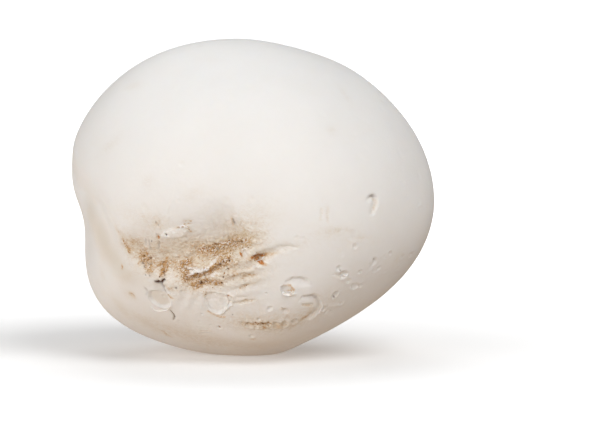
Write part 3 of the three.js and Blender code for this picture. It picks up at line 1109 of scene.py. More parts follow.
@dataclass(frozen=True)
class Scatter:
    """Small blemishes strewn over the whole ball, so that no side is bare."""

    pits: int = 90
    smudges: int = 46
    scratches: int = 22
    pit_radius: Span = (0.9, 2.4)
    pit_depth: Span = (0.06, 0.28)
    scratch_reach: Span = (2.0, 7.0)
    scratch_bend: Span = (-0.3, 0.3)
    scratch_depth: Span = (0.1, 0.3)
    scratch_width: float = 0.9
    smudge_long: Span = (2.0, 9.0)
    smudge_wide: Span = (1.2, 4.0)
    smudge_turn: Span = (0, 180)
    smudge_share: Span = (0.04, 0.14)

    def directions(self, draw: np.random.Generator, count: int) -> np.ndarray:
        """Draws points that are spread evenly over the ball."""
        around = draw.normal(size=(count, 3))
        return BALL.on_ball(around / np.linalg.norm(around, axis=1, keepdims=True))

    def relief(self, draw: np.random.Generator) -> list[Mark]:
        """Draws shallow pits and scratches.

        Args:
            draw: The seeded source of chance.

        Returns:
            The marks.
        """
        marks: list[Mark] = []
        for at in self.directions(draw, self.pits):
            marks.append(Pit(at, draw.uniform(*self.pit_radius), draw.uniform(*self.pit_depth)))
        for at in self.directions(draw, self.scratches):
            normal = BALL.outward(at)
            run = np.cross(normal, draw.normal(size=3))
            run *= draw.uniform(*self.scratch_reach) / np.linalg.norm(run)
            bend = np.cross(normal, run) * draw.uniform(*self.scratch_bend)
            deep = (0, draw.uniform(*self.scratch_depth), 0)
            marks.append(Fold([at - run, at + bend, at + run], deep, self.scratch_width, self.scratch_width))
        return marks

    def tint(self, draw: np.random.Generator) -> list[Mark]:
        """Draws faint tan smudges.

        Args:
            draw: The seeded source of chance.

        Returns:
            The marks.
        """
        sizes = (self.smudge_long, self.smudge_wide, self.smudge_turn)
        return [
            Smudge(Patch(at, *(draw.uniform(*span) for span in sizes)), draw.uniform(*self.smudge_share))
            for at in self.directions(draw, self.smudges)
        ]


def fractal(points: np.ndarray, size: float, octaves: int, shift: float = 0.0) -> np.ndarray:
    """Makes smooth noise over the ball.

    Args:
        points: Points in millimetres, one a row.
        size: Size of the largest lumps, in millimetres.
        octaves: How many layers, each finer than the last, it is made of.
        shift: Moves the pattern, so that two layers differ.

    Returns:
        Values about 0, mostly within 1.
    """
    scaled = points / size + shift
    return np.array([noise.fractal(Vector(p), NOISE_ROUGHNESS, NOISE_GAIN, octaves) for p in scaled])


# Meshes


def deselect() -> None:
    """Leaves nothing selected, so that an operator acts on the new piece alone."""
    bpy.ops.object.select_all(action="DESELECT")


def make_active(piece: bpy.types.Object) -> None:
    """Selects one piece alone.

    Args:
        piece: The piece.
    """
    deselect()
    piece.select_set(True)
    bpy.context.view_layer.objects.active = piece


def vertex_places(mesh: bpy.types.Mesh) -> np.ndarray:
    """Reads the places of a mesh's vertices.

    Args:
        mesh: The mesh.

    Returns:
        The places, one a row.
    """
    flat = np.empty(len(mesh.vertices) * 3)
    mesh.vertices.foreach_get("co", flat)
    return flat.reshape(-1, 3)


def place_vertices(mesh: bpy.types.Mesh, placed: np.ndarray) -> None:
    """Puts a mesh's vertices at new places."""
    mesh.vertices.foreach_set("co", placed.astype(np.float32).ravel())
    mesh.update()


def paint(mesh: bpy.types.Mesh, stain: Stain, values: np.ndarray) -> None:
    """Keeps one stain on a mesh as a value at each vertex."""
    layer = mesh.attributes.new(stain.value, "FLOAT", "POINT")
    layer.data.foreach_set("value", values.astype(np.float32))


def hand_over(piece: bpy.types.Object, slot: Slot) -> None:
    """Lets a finished piece ride with the ball.

    Args:
        piece: The piece.
        slot: Its slot of the record; not used.
    """
    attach(piece, BODY)
    LOG.info("%s: %d vertices, %d faces", piece.name, len(piece.data.vertices), len(piece.data.polygons))


# Node groups and finishes

Socket = bpy.types.NodeSocket
FLOAT = "NodeSocketFloat"
VECTOR = "NodeSocketVector"
WHITE = (1.0, 1.0, 1.0, 1.0)


@dataclass(frozen=True)
class Pattern:
    """A noise: its scale in lumps a metre, its finer detail, and the span that is spread out."""

    scale: float
    detail: float
    rough: float
    low: float
    high: float


@dataclass(frozen=True)
class Speckle:
    """How a cover breaks up: its scale in grains a metre, and how soft their edges are."""

    scale: float
    softness: float


@dataclass(frozen=True)
class Bump:
    """The fine relief of a finish: its scales a metre, its strength and its depth in metres."""

    lumps: float
    fibres: float
    strength: float
    deep: float


class Tree:
    """Adds nodes to a tree and links them, with less writing."""

    def __init__(self, tree: bpy.types.NodeTree) -> None:
        """Starts on a tree."""
        self.tree = tree

    def fill(self, node: bpy.types.Node, inputs: dict) -> None:
        """Sets a node's inputs.

        Args:
            node: The node.
            inputs: Sockets to link or values to set, by the input's name or number.
        """
        for name, value in inputs.items():
            if isinstance(value, Socket):
                self.tree.links.new(value, node.inputs[name])
            else:
                node.inputs[name].default_value = value

    def node(self, kind: str, inputs: dict | None = None, **settings: object) -> bpy.types.Node:
        """Adds a node.

        Args:
            kind: The node's type name.
            inputs: Values or sockets for its inputs, by name or number.
            settings: Its own properties.

        Returns:
            The node.
        """
        made = self.tree.nodes.new(kind)
        for name, value in settings.items():
            setattr(made, name, value)
        self.fill(made, inputs or {})
        return made

    def math(self, operation: str, first: object, second: object, clamp: bool = False) -> Socket:
        """Adds a sum on two values or sockets and gives its result."""
        made = self.node("ShaderNodeMath", {0: first, 1: second}, operation=operation, use_clamp=clamp)
        return made.outputs[0]

    def times(self, first: object, second: object, clamp: bool = False) -> Socket:
        """Multiplies two values or sockets."""
        return self.math("MULTIPLY", first, second, clamp)

    def plus(self, first: object, second: object, clamp: bool = False) -> Socket:
        """Adds two values or sockets up."""
        return self.math("ADD", first, second, clamp)

    def mix(self, share: object, first: object, second: object) -> Socket:
        """Mixes two colours.

        Args:
            share: How much of the second there is.
            first: The first colour.
            second: The second colour.

        Returns:
            The mixed colour.
        """
        made = self.tree.nodes.new("ShaderNodeMix")
        made.data_type = "RGBA"
        kinds = ("VALUE", "RGBA")
        for name, value in (("Factor", share), ("A", first), ("B", second)):
            socket = next(s for s in made.inputs if s.name == name and s.type in kinds and s.enabled)
            if isinstance(value, Socket):
                self.tree.links.new(value, socket)
            elif name == "Factor":
                socket.default_value = value
            else:
                socket.default_value = (*value, 1.0)
        return next(s for s in made.outputs if s.type == "RGBA" and s.enabled)

    def noise(self, where: Socket, scale: object, detail: float, rough: float, twist: float = 0.0) -> Socket:
        """Adds a noise, with its scale in lumps a metre."""
        inputs = {"Vector": where, "Scale": scale, "Detail": detail, "Roughness": rough, "Distortion": twist}
        return self.node("ShaderNodeTexNoise", inputs).outputs["Fac"]

    def spread(self, value: Socket, low: float, high: float) -> Socket:
        """Stretches the span from low to high over 0 to 1."""
        made = self.node("ShaderNodeMapRange", {0: value, 1: low, 2: high, 3: 0.0, 4: 1.0}, clamp=True)
        return made.outputs[0]

    def pattern(self, where: Socket, pattern: Pattern) -> Socket:
        """Adds a noise whose span is spread over 0 to 1."""
        made = self.noise(where, pattern.scale, pattern.detail, pattern.rough)
        return self.spread(made, pattern.low, pattern.high)

    def bumped(self, height: Socket, bump: Bump) -> Socket:
        """Turns a height into a normal."""
        inputs = {"Strength": bump.strength, "Distance": bump.deep, "Height": height}
        return self.node("ShaderNodeBump", inputs).outputs[0]


def new_group(name: str, inputs: dict[str, str], output: str) -> tuple[Tree, dict, Socket]:
    """Starts a shader node group with one output, a value.

    Args:
        name: The group's name.
        inputs: Its input sockets and their types.
        output: The name of its output.

    Returns:
        The tree, its inputs as sockets to read, and its output as a socket to feed.
    """
    group = bpy.data.node_groups.new(name, "ShaderNodeTree")
    for socket, kind in inputs.items():
        group.interface.new_socket(socket, in_out="INPUT", socket_type=kind)
    group.interface.new_socket(output, in_out="OUTPUT", socket_type=FLOAT)
    entry = group.nodes.new("NodeGroupInput")
    leave = group.nodes.new("NodeGroupOutput")
    return Tree(group), {s.name: s for s in entry.outputs}, leave.inputs[output]


def speckle_group() -> bpy.types.NodeTree:
    """Breaks a smooth cover up into grains and clots, as soil on skin is.

    Returns:
        The group: Cover, Scale and Softness in, Mask out.
    """
    inputs = {"Vector": VECTOR, "Cover": FLOAT, "Scale": FLOAT, "Softness": FLOAT}
    tree, entry, mask = new_group("Speckle", inputs, "Mask")
    clots = tree.noise(entry["Vector"], entry["Scale"], detail=6.0, rough=0.72)
    level = tree.spread(clots, low=0.3, high=0.7)
    bare = tree.math("SUBTRACT", 1.0, entry["Cover"])
    over = tree.math("SUBTRACT", level, bare)
    tree.tree.links.new(tree.math("DIVIDE", over, entry["Softness"], clamp=True), mask)
    return tree.tree


def grain_group(fibre_share: float = 0.45) -> bpy.types.NodeTree:
    """The fine grain of soft skin: small lumps with finer fibres between them.

    Args:
        fibre_share: How high the fibres are beside the lumps.

    Returns:
        The group: Lumps and Fibres in, as scales, and Height out.
    """
    inputs = {"Vector": VECTOR, "Lumps": FLOAT, "Fibres": FLOAT}
    tree, entry, height = new_group("Skin grain", inputs, "Height")
    lumps = tree.noise(entry["Vector"], entry["Lumps"], detail=3.0, rough=0.55)
    fibres = tree.noise(entry["Vector"], entry["Fibres"], detail=4.0, rough=0.7, twist=0.8)
    tree.tree.links.new(tree.plus(lumps, tree.times(fibres, fibre_share)), height)
    return tree.tree


def wrinkle_group(middle: float = 0.5) -> bpy.types.NodeTree:
    """Fine curving wrinkles, drawn where a noise crosses its middle.

    Args:
        middle: The middle value of the noise.

    Returns:
        The group: Cover, Scale and Width in, Mask out.
    """
    inputs = {"Vector": VECTOR, "Cover": FLOAT, "Scale": FLOAT, "Width": FLOAT}
    tree, entry, mask = new_group("Wrinkles", inputs, "Mask")
    waves = tree.noise(entry["Vector"], entry["Scale"], detail=2.0, rough=0.6, twist=1.1)
    away = tree.math("ABSOLUTE", tree.math("SUBTRACT", waves, middle), 0.0)
    line = tree.math("SUBTRACT", 1.0, tree.math("DIVIDE", away, entry["Width"]), clamp=True)
    tree.tree.links.new(tree.times(line, entry["Cover"], clamp=True), mask)
    return tree.tree


class Groups:
    """The node groups that the finishes share, each built once."""

    def __init__(self) -> None:
        """Builds them."""
        self.speckle = speckle_group()
        self.grain = grain_group()
        self.wrinkle = wrinkle_group()

    def wrinkled(self, tree: Tree, where: Socket, cover: Socket, scale: float, width: float) -> Socket:
        """Places the wrinkle group in a material and gives its mask."""
        inputs = {"Vector": where, "Cover": cover, "Scale": scale, "Width": width}
        return tree.node("ShaderNodeGroup", inputs, node_tree=self.wrinkle).outputs["Mask"]

    def speckled(self, tree: Tree, where: Socket, cover: object, speckle: Speckle) -> Socket:
        """Places the speckle group in a material and gives its mask."""
        inputs = {"Vector": where, "Cover": cover, "Scale": speckle.scale, "Softness": speckle.softness}
        return tree.node("ShaderNodeGroup", inputs, node_tree=self.speckle).outputs["Mask"]

    def grained(self, tree: Tree, where: Socket, bump: Bump) -> Socket:
        """Places the grain group in a material and gives its height."""
        inputs = {"Vector": where, "Lumps": bump.lumps, "Fibres": bump.fibres}
        return tree.node("ShaderNodeGroup", inputs, node_tree=self.grain).outputs["Height"]


def new_material(name: str) -> tuple[bpy.types.Material, Tree, bpy.types.Node, Socket]:
    """Starts a material on its own Principled shader.

    Args:
        name: The material's name.

    Returns:
        The material, its tree, its shader and the piece's own coordinates.
    """
    material = bpy.data.materials.new(name)
    material.use_nodes = True
    tree = Tree(material.node_tree)
    where = tree.node("ShaderNodeTexCoord").outputs["Object"]
    return material, tree, material.node_tree.nodes["Principled BSDF"], where


@dataclass(frozen=True)
class SkinFinish:
    """Matt white skin, like kid leather, with the soil and scars of the base, painted shade by the hollow
    and down the left valley, and painted highlights on the rims of pits, crescents and the nick.
    """

    light: Colour = (0.855, 0.85, 0.838)
    warm: Colour = (0.825, 0.813, 0.79)
    grey: Colour = (0.67, 0.57, 0.43)
    tan: Colour = (0.66, 0.485, 0.25)
    brown: Colour = (0.49, 0.25, 0.058)
    deep: Colour = (0.21, 0.098, 0.024)
    rust: Colour = (0.48, 0.17, 0.035)
    dark: Colour = (0.075, 0.02, 0.006)
    # white of torn flesh, also the colour of the painted highlights
    torn: Colour = (0.90, 0.885, 0.86)
    cream: Colour = (0.70, 0.635, 0.545)

    clouds: Pattern = Pattern(34.0, 4.0, 0.55, 0.35, 0.68)
    down: Pattern = Pattern(420.0, 3.0, 0.6, 0.3, 0.7)
    clots: Pattern = Pattern(1000.0, 3.0, 0.6, 0.3, 0.52)
    flaws: Pattern = Pattern(1400.0, 3.0, 0.6, 0.15, 0.38)
    strokes: Speckle = Speckle(980.0, 0.5)
    flecks: Speckle = Speckle(1000.0, 0.2)
    grains: Speckle = Speckle(1350.0, 0.25)
    # breaks up the torn flesh and the painted highlights
    tears: Speckle = Speckle(800.0, 0.6)
    wrinkle_scale: float = 330.0
    wrinkle_width: float = 0.035
    stroke_slant: float = -30.0
    stroke_stretch: Colour = (0.45, 1.0, 1.0)

    cloud_share: float = 0.55
    down_share: float = 0.12
    cream_share: float = 0.8
    grey_least: float = 0.45
    tan_share: float = 0.5
    brown_share: float = 0.85
    fleck_on_soil: float = 0.46
    fleck_on_tint: float = 0.22
    fleck_share: float = 0.9
    grain_cover: float = 0.55
    grain_share: float = 0.7
    wrinkle_on_tint: float = 0.9
    wrinkle_on_soil: float = 0.8
    wrinkle_share: float = 0.62
    rust_share: float = 1.15

    roughness: float = 0.56
    down_roughness: float = 0.10
    soil_roughness: float = 0.25
    dark_roughness: float = 0.3
    bump: Bump = Bump(650.0, 2100.0, 0.4, 0.00014)
    crumb_scale: float = 1300.0
    crumb_height: float = 5.0
    wrinkle_depth: float = 3.0
    specular: float = 0.28
    sheen: float = 0.03
    sheen_roughness: float = 0.5
    subsurface: float = 0.2
    subsurface_radius: Colour = (1.0, 0.82, 0.65)
    subsurface_scale: float = 0.001

    def material(self, groups: Groups) -> bpy.types.Material:
        """Builds the material.

        Args:
            groups: The shared node groups.

        Returns:
            The material.
        """
        material, tree, shader, where = new_material("Puffball skin")
        stain = {s: tree.node("ShaderNodeAttribute", attribute_name=s.value).outputs["Fac"] for s in Stain}
        tint = stain[Stain.TINT]
        soil = stain[Stain.SOIL]
        slant = (0.0, math.radians(self.stroke_slant), 0.0)
        turned = {"Rotation": slant, "Scale": self.stroke_stretch, "Vector": where}
        streaks = tree.node("ShaderNodeMapping", turned).outputs[0]

        down = tree.pattern(where, self.down)
        warmth = tree.times(tree.pattern(where, self.clouds), self.cloud_share)
        colour = tree.mix(tree.plus(warmth, tree.times(down, self.down_share)), self.light, self.warm)
        # cream of the scars, and painted shade down the left valley
        cream = tree.times(stain[Stain.CREAM], self.cream_share, clamp=True)
        colour = tree.mix(cream, colour, self.cream)
        # grey tint of soil, and painted shade above the hollow and under its rim
        grey = tree.times(tint, tree.plus(down, self.grey_least), clamp=True)
        colour = tree.mix(grey, colour, self.grey)
        colour = tree.mix(tree.times(soil, self.tan_share, clamp=True), colour, self.tan)
        soiled = groups.speckled(tree, streaks, soil, self.strokes)
        colour = tree.mix(tree.times(soiled, self.brown_share), colour, self.brown)
        flecks = tree.plus(tree.times(soil, self.fleck_on_soil), tree.times(tint, self.fleck_on_tint))
        white = groups.speckled(tree, where, flecks, self.flecks)
        colour = tree.mix(tree.times(white, self.fleck_share), colour, self.torn)
        grains = groups.speckled(tree, streaks, tree.times(soil, self.grain_cover), self.grains)
        colour = tree.mix(tree.times(grains, self.grain_share), colour, self.deep)
        on_tint = tree.times(tint, self.wrinkle_on_tint)
        creased = tree.plus(on_tint, tree.times(soil, self.wrinkle_on_soil), clamp=True)
        wrinkles = groups.wrinkled(tree, streaks, creased, self.wrinkle_scale, self.wrinkle_width)
        colour = tree.mix(tree.times(wrinkles, self.wrinkle_share), colour, self.brown)
        # white of torn flesh, and painted highlights on the lit rims of pits, crescents and the nick
        torn = groups.speckled(tree, where, stain[Stain.TORN_AND_HIGHLIGHT], self.tears)
        colour = tree.mix(torn, colour, self.torn)
        clotted = tree.times(stain[Stain.RUST], tree.pattern(where, self.clots))
        rusty = tree.times(clotted, self.rust_share, clamp=True)
        colour = tree.mix(rusty, colour, self.tan)
        colour = tree.mix(tree.times(rusty, rusty), colour, self.rust)
        flawed = tree.times(stain[Stain.DARK], tree.pattern(where, self.flaws), clamp=True)
        colour = tree.mix(flawed, colour, self.dark)

        rough = tree.plus(tree.times(down, self.down_roughness), self.roughness)
        rough = tree.plus(rough, tree.times(soiled, self.soil_roughness))
        rough = tree.plus(rough, tree.times(stain[Stain.DARK], self.dark_roughness), clamp=True)

        height = groups.grained(tree, where, self.bump)
        crumbly = tree.times(tree.plus(soil, tint, clamp=True), self.crumb_height)
        lumps = tree.times(tree.noise(streaks, self.crumb_scale, detail=3.0, rough=0.6), crumbly)
        height = tree.math("SUBTRACT", tree.plus(height, lumps), tree.times(wrinkles, self.wrinkle_depth))

        tree.fill(
            shader,
            {
                "Base Color": colour,
                "Roughness": rough,
                "Normal": tree.bumped(height, self.bump),
                "Specular IOR Level": self.specular,
                "Sheen Weight": self.sheen,
                "Sheen Roughness": self.sheen_roughness,
                "Subsurface Weight": self.subsurface,
                "Subsurface Radius": self.subsurface_radius,
                "Subsurface Scale": self.subsurface_scale,
            },
        )
        return material


@dataclass(frozen=True)
class FlakeFinish:
    """Thin dry skin or root, pale inside and stained at its edge."""

    inside: Colour = (0.90, 0.88, 0.85)
    edge: Colour = (0.66, 0.52, 0.36)
    stained: float = 0.32
    stains: Speckle = Speckle(700.0, 0.5)
    roughness: float = 0.62
    stain_roughness: float = 0.2
    bump: Bump = Bump(1200.0, 3200.0, 0.3, 0.0001)
    specular: float = 0.3
    subsurface: float = 0.3
    subsurface_radius: Colour = (1.0, 0.7, 0.45)
    subsurface_scale: float = 0.001

    def material(self, groups: Groups) -> bpy.types.Material:
        """Builds the material.

        Args:
            groups: The shared node groups.

        Returns:
            The material.
        """
        material, tree, shader, where = new_material("Lifted skin")
        stained = groups.speckled(tree, where, self.stained, self.stains)
        tree.fill(
            shader,
            {
                "Base Color": tree.mix(stained, self.inside, self.edge),
                "Roughness": tree.plus(tree.times(stained, self.stain_roughness), self.roughness),
                "Normal": tree.bumped(groups.grained(tree, where, self.bump), self.bump),
                "Specular IOR Level": self.specular,
                "Subsurface Weight": self.subsurface,
                "Subsurface Radius": self.subsurface_radius,
                "Subsurface Scale": self.subsurface_scale,
            },
        )
        return material


FLAKE_FINISH = FlakeFinish()
ROOT_FINISH = FlakeFinish(inside=(0.34, 0.26, 0.17), edge=(0.09, 0.06, 0.035))


@dataclass(frozen=True)
class SoilFinish:
    """Dry crumbs of woodland soil."""

    pale: Colour = (0.42, 0.22, 0.085)
    deep: Colour = (0.10, 0.042, 0.014)
    lumps: Pattern = Pattern(300.0, 3.0, 0.6, 0.35, 0.65)
    gritty: float = 0.5
    grit: Speckle = Speckle(2600.0, 0.6)
    roughness: float = 0.8
    grit_roughness: float = 0.15
    bump_strength: float = 0.6
    bump_deep: float = 0.00015
    specular: float = 0.25

    def material(self, groups: Groups) -> bpy.types.Material:
        """Builds the material.

        Args:
            groups: The shared node groups.

        Returns:
            The material.
        """
        material, tree, shader, where = new_material("Soil crumb")
        grit = groups.speckled(tree, where, self.gritty, self.grit)
        relief = {"Strength": self.bump_strength, "Distance": self.bump_deep, "Height": grit}
        tree.fill(
            shader,
            {
                "Base Color": tree.mix(tree.pattern(where, self.lumps), self.deep, self.pale),
                "Roughness": tree.plus(tree.times(grit, self.grit_roughness), self.roughness),
                "Normal": tree.node("ShaderNodeBump", relief).outputs[0],
                "Specular IOR Level": self.specular,
            },
        )
        return material


# Pieces


@dataclass
class FruitingBody:
    """The whole fungus as one skin, fine enough to hold its smallest scars."""

    cuts: tuple[int, int] = (1, 63)
    crowded_place: tuple[float, float] = (-8.0, -38.0)
    crowding: float = 0.36
    wobble: float = 0.5
    wobble_size: float = 4.2
    ragged: float = 0.28
    ragged_size: float = 1.5
    wobble_shifts: Sequence[float] = (3.1, 17.7, 41.3)
    ragged_shifts: Sequence[float] = (5.9, 23.1, 57.7)
    torn_roughness: float = 0.75
    torn_lumps: float = 1.9
    torn_and_highlight_share: float = 0.3
    tint_share: float = 0.7
    swell: float = 0.05
    swell_size: float = 7.0
    scatter: Scatter = field(default_factory=Scatter)

    def cube_of_points(self) -> bpy.types.Object:
        """Starts from a cube, cut fine on every side.

        Returns:
            The cube.
        """
        deselect()
        bpy.ops.mesh.primitive_cube_add(size=2.0)
        piece = bpy.context.active_object
        piece.name = "skin"
        bpy.ops.object.mode_set(mode="EDIT")
        bpy.ops.mesh.select_all(action="SELECT")
        for cuts in self.cuts:
            bpy.ops.mesh.subdivide(number_cuts=cuts)
        bpy.ops.object.mode_set(mode="OBJECT")
        return piece

    def directions(self, cube: np.ndarray) -> np.ndarray:
        """Turns the cube's points into directions that crowd towards the scarred base.

        Args:
            cube: The points of a fine cube from -1 to 1, one a row.

        Returns:
            Unit directions, one a row.
        """
        even = np.tan(cube * math.pi / 4)
        even /= np.linalg.norm(even, axis=1, keepdims=True)
        pole = seen(*self.crowded_place)
        pole /= np.linalg.norm(pole)
        front = np.array((0.0, -1.0, 0.0))
        turn = Vector(front).rotation_difference(Vector(pole)).to_matrix()
        even = even @ np.array(turn).T
        height = even @ pole
        aside = even - height[:, None] * pole
        far = np.maximum(np.linalg.norm(aside, axis=1), 1e-9)
        angle = 2 * np.arctan(self.crowding * np.tan(np.arccos(np.clip(height, -1, 1)) / 2))
        return aside * (np.sin(angle) / far)[:, None] + pole * np.cos(angle)[:, None]

    def wobbled(self, points: np.ndarray) -> np.ndarray:
        """Shifts points a little, so that every edge and crack runs unevenly.

        Args:
            points: Points of the plain ball, one a row.

        Returns:
            The shifted points.
        """
        slow = [fractal(points, self.wobble_size, 4, shift) for shift in self.wobble_shifts]
        quick = [fractal(points, self.ragged_size, 2, shift) for shift in self.ragged_shifts]
        return points + self.wobble * np.column_stack(slow) + self.ragged * np.column_stack(quick)

    def settled(self, height: np.ndarray) -> np.ndarray:
        """Eases the skin into the flat spot that it rests on."""
        up = np.maximum(height, 0.0)
        return up * up / (up + BALL.ease_to_floor)

    def build(self) -> bpy.types.Object:
        """Builds the skin and paints its stains on it.

        Returns:
            The piece, in metres, in the place of the solid.
        """
        piece = self.cube_of_points()
        mesh = piece.data
        plain = BALL.on_ball(self.directions(vertex_places(mesh)))
        shifted = self.wobbled(plain)
        draw = np.random.default_rng(SEED)
        raised = unevenness(plain)
        for mark in SHAPE:
            raised += mark.amount(plain)
        for mark in (*FOLDS, *MARKS, *FINE_RELIEF, *self.scatter.relief(draw)):
            raised += mark.amount(shifted)

        stains = {stain: np.zeros(len(plain)) for stain in Stain}
        for stain, marks in STAINS.items():
            for mark in marks:
                stains[stain] += mark.amount(shifted)
        for mark in self.scatter.tint(draw):
            stains[Stain.TINT] += mark.amount(plain)

        stained = self.torn_and_highlight_share * stains[Stain.TORN_AND_HIGHLIGHT]
        rough = np.clip(stains[Stain.SOIL] + stained + self.tint_share * stains[Stain.TINT], 0, 1)
        raised += self.torn_roughness * rough * fractal(plain, self.torn_lumps, 3, 7.9)
        raised += self.swell * fractal(plain, self.swell_size, 3, 23.3)

        placed = plain + BALL.outward(plain) * raised[:, None] + np.array(BALL.middle)
        placed[:, 2] = self.settled(placed[:, 2])
        place_vertices(mesh, self.fitted(placed * MM))
        for stain, values in stains.items():
            paint(mesh, stain, np.clip(values, 0, 1))
        make_active(piece)
        bpy.ops.object.shade_smooth()
        return piece

    def fitted(self, placed: np.ndarray) -> np.ndarray:
        """Fits the skin to the solid's box, which it misses by a hair.

        Args:
            placed: The skin's points, in metres, one a row.

        Returns:
            The fitted points.
        """
        low, high = (np.array(corner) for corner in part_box(NODE))
        size = placed.max(0) - placed.min(0)
        return (placed - placed.min(0)) / size * (high - low) + low


# How far above the ball the skin is looked for, to root a small piece in it
LOOK_FROM = 12.0


@dataclass(frozen=True)
class Flake:
    """One flake of skin that has lifted along a course."""

    places: Sequence[tuple[float, float]]
    tall: float
    lean: float
    lift: float


@dataclass
class LiftedSkin:
    """Paper thin flakes that stand up along the tears of the base."""

    thickness: float = 0.28
    along: int = 26
    across: int = 5
    sunk: float = 0.5
    tips: float = 0.02
    blunt: float = 0.5
    ragged: float = 0.9
    ragged_size: float = 1.1
    lowest: float = 0.15
    curl: float = 1.6
    flakes: Sequence[Flake] = (
        Flake(((-31.5, -36.4), (-27.5, -37.6), (-24.0, -37.4), (-21.6, -36.8)), 0.9, -0.9, 0.5),
        Flake(((-22.2, -37.2), (-19.6, -35.8), (-17.4, -33.6)), 0.8, -0.9, 0.45),
        Flake(((-17.6, -33.9), (-15.8, -31.6), (-13.4, -30.4)), 0.7, -0.9, 0.4),
        Flake(((-50.4, -57.4), (-46.8, -59.4), (-42.2, -59.0), (-39.8, -56.8)), 0.9, -0.5, 0.55),
        Flake(((-11.2, -50.8), (-9.4, -54.8), (-10.6, -59.0)), 0.9, -0.6, 0.6),
        Flake(((-36.5, -15.2), (-33.0, -14.6), (-30.6, -15.8)), 1.0, -0.9, 0.5),
        Flake(((-2.6, -29.6), (-1.2, -27.6), (0.4, -27.2)), 1.0, 0.8, 0.6),
        Flake(((5.0, -34.2), (7.8, -33.6), (9.6, -32.0)), 0.9, 0.7, 0.5),
        Flake(((19.2, -51.0), (22.4, -50.5), (25.8, -50.9)), 0.8, 0.5, 0.4),
        Flake(((38.8, -54.6), (39.2, -57.6), (37.4, -61.2)), 0.9, 0.6, 0.5),
        Flake(((48.6, -41.4), (51.2, -41.8), (53.4, -41.0)), 0.8, 0.5, 0.4),
        Flake(((-41.8, -50.4), (-39.8, -50.7), (-38.2, -50.2)), 0.7, 0.5, 0.45),
    )

    def strip(self, flake: Flake, skin: BVHTree, seed: int) -> bpy.types.Object:
        """Builds one flake as a curling strip rooted in the skin.

        Args:
            flake: Where it runs and how it stands.
            skin: The finished skin, to root it in.
            seed: Moves its ragged edge.

        Returns:
            The strip.
        """
        deselect()
        bpy.ops.mesh.primitive_grid_add(x_subdivisions=self.along, y_subdivisions=self.across, size=2.0)
        strip = bpy.context.active_object
        grid = vertex_places(strip.data)
        share = (grid[:, 0] + 1) / 2
        rise = (grid[:, 1] + 1) / 2
        line = Course(places(*flake.places)).line()
        steps = np.linspace(0, 1, len(line))
        spine = np.column_stack([np.interp(share, steps, line[:, k]) for k in range(3)])
        normal = BALL.outward(spine)
        tangent = np.gradient(line, axis=0)
        run = np.column_stack([np.interp(share, steps, tangent[:, k]) for k in range(3)])
        run /= np.linalg.norm(run, axis=1, keepdims=True)
        side = np.cross(normal, run)
        taper = np.sin(np.pi * np.clip(share, self.tips, 1 - self.tips)) ** self.blunt
        ragged = np.maximum(1 + self.ragged * fractal(spine + seed, self.ragged_size, 3), self.lowest)
        tall = flake.tall * taper * ragged
        lean = flake.lean * tall * rise**self.curl
        placed = []
        for i, start in enumerate(spine + np.array(BALL.middle)):
            origin = Vector((start + normal[i] * LOOK_FROM) * MM)
            hit = skin.ray_cast(origin, Vector(-normal[i]))[0]
            root = np.array(hit) / MM if hit is not None else start
            up = rise[i] * tall[i] * flake.lift - self.sunk * (1 - rise[i])
            placed.append(root + normal[i] * up + side[i] * lean[i])
        place_vertices(strip.data, np.array(placed) * MM)
        make_active(strip)
        thick = strip.modifiers.new("Thickness", "SOLIDIFY")
        thick.thickness = self.thickness * MM
        thick.offset = 0.0
        bpy.ops.object.modifier_apply(modifier=thick.name)
        return strip

    def build(self, skin: BVHTree) -> bpy.types.Object:
        """Builds all flakes as one piece.

        Args:
            skin: The finished skin.

        Returns:
            The piece.
        """
        strips = [self.strip(flake, skin, 5 * i) for i, flake in enumerate(self.flakes)]
        return joined(strips, "lifted_skin")


def joined(parts: Sequence[bpy.types.Object], name: str) -> bpy.types.Object:
    """Joins several meshes into one smooth piece.

    Args:
        parts: The meshes.
        name: The piece's name.

    Returns:
        The piece, with its faces pointing out.
    """
    deselect()
    for part in parts:
        part.select_set(True)
    piece = parts[0]
    bpy.context.view_layer.objects.active = piece
    bpy.ops.object.join()
    piece.name = name
    bpy.ops.object.mode_set(mode="EDIT")
    bpy.ops.mesh.select_all(action="SELECT")
    bpy.ops.mesh.normals_make_consistent(inside=False)
    bpy.ops.object.mode_set(mode="OBJECT")
    bpy.ops.object.shade_smooth()
    return piece


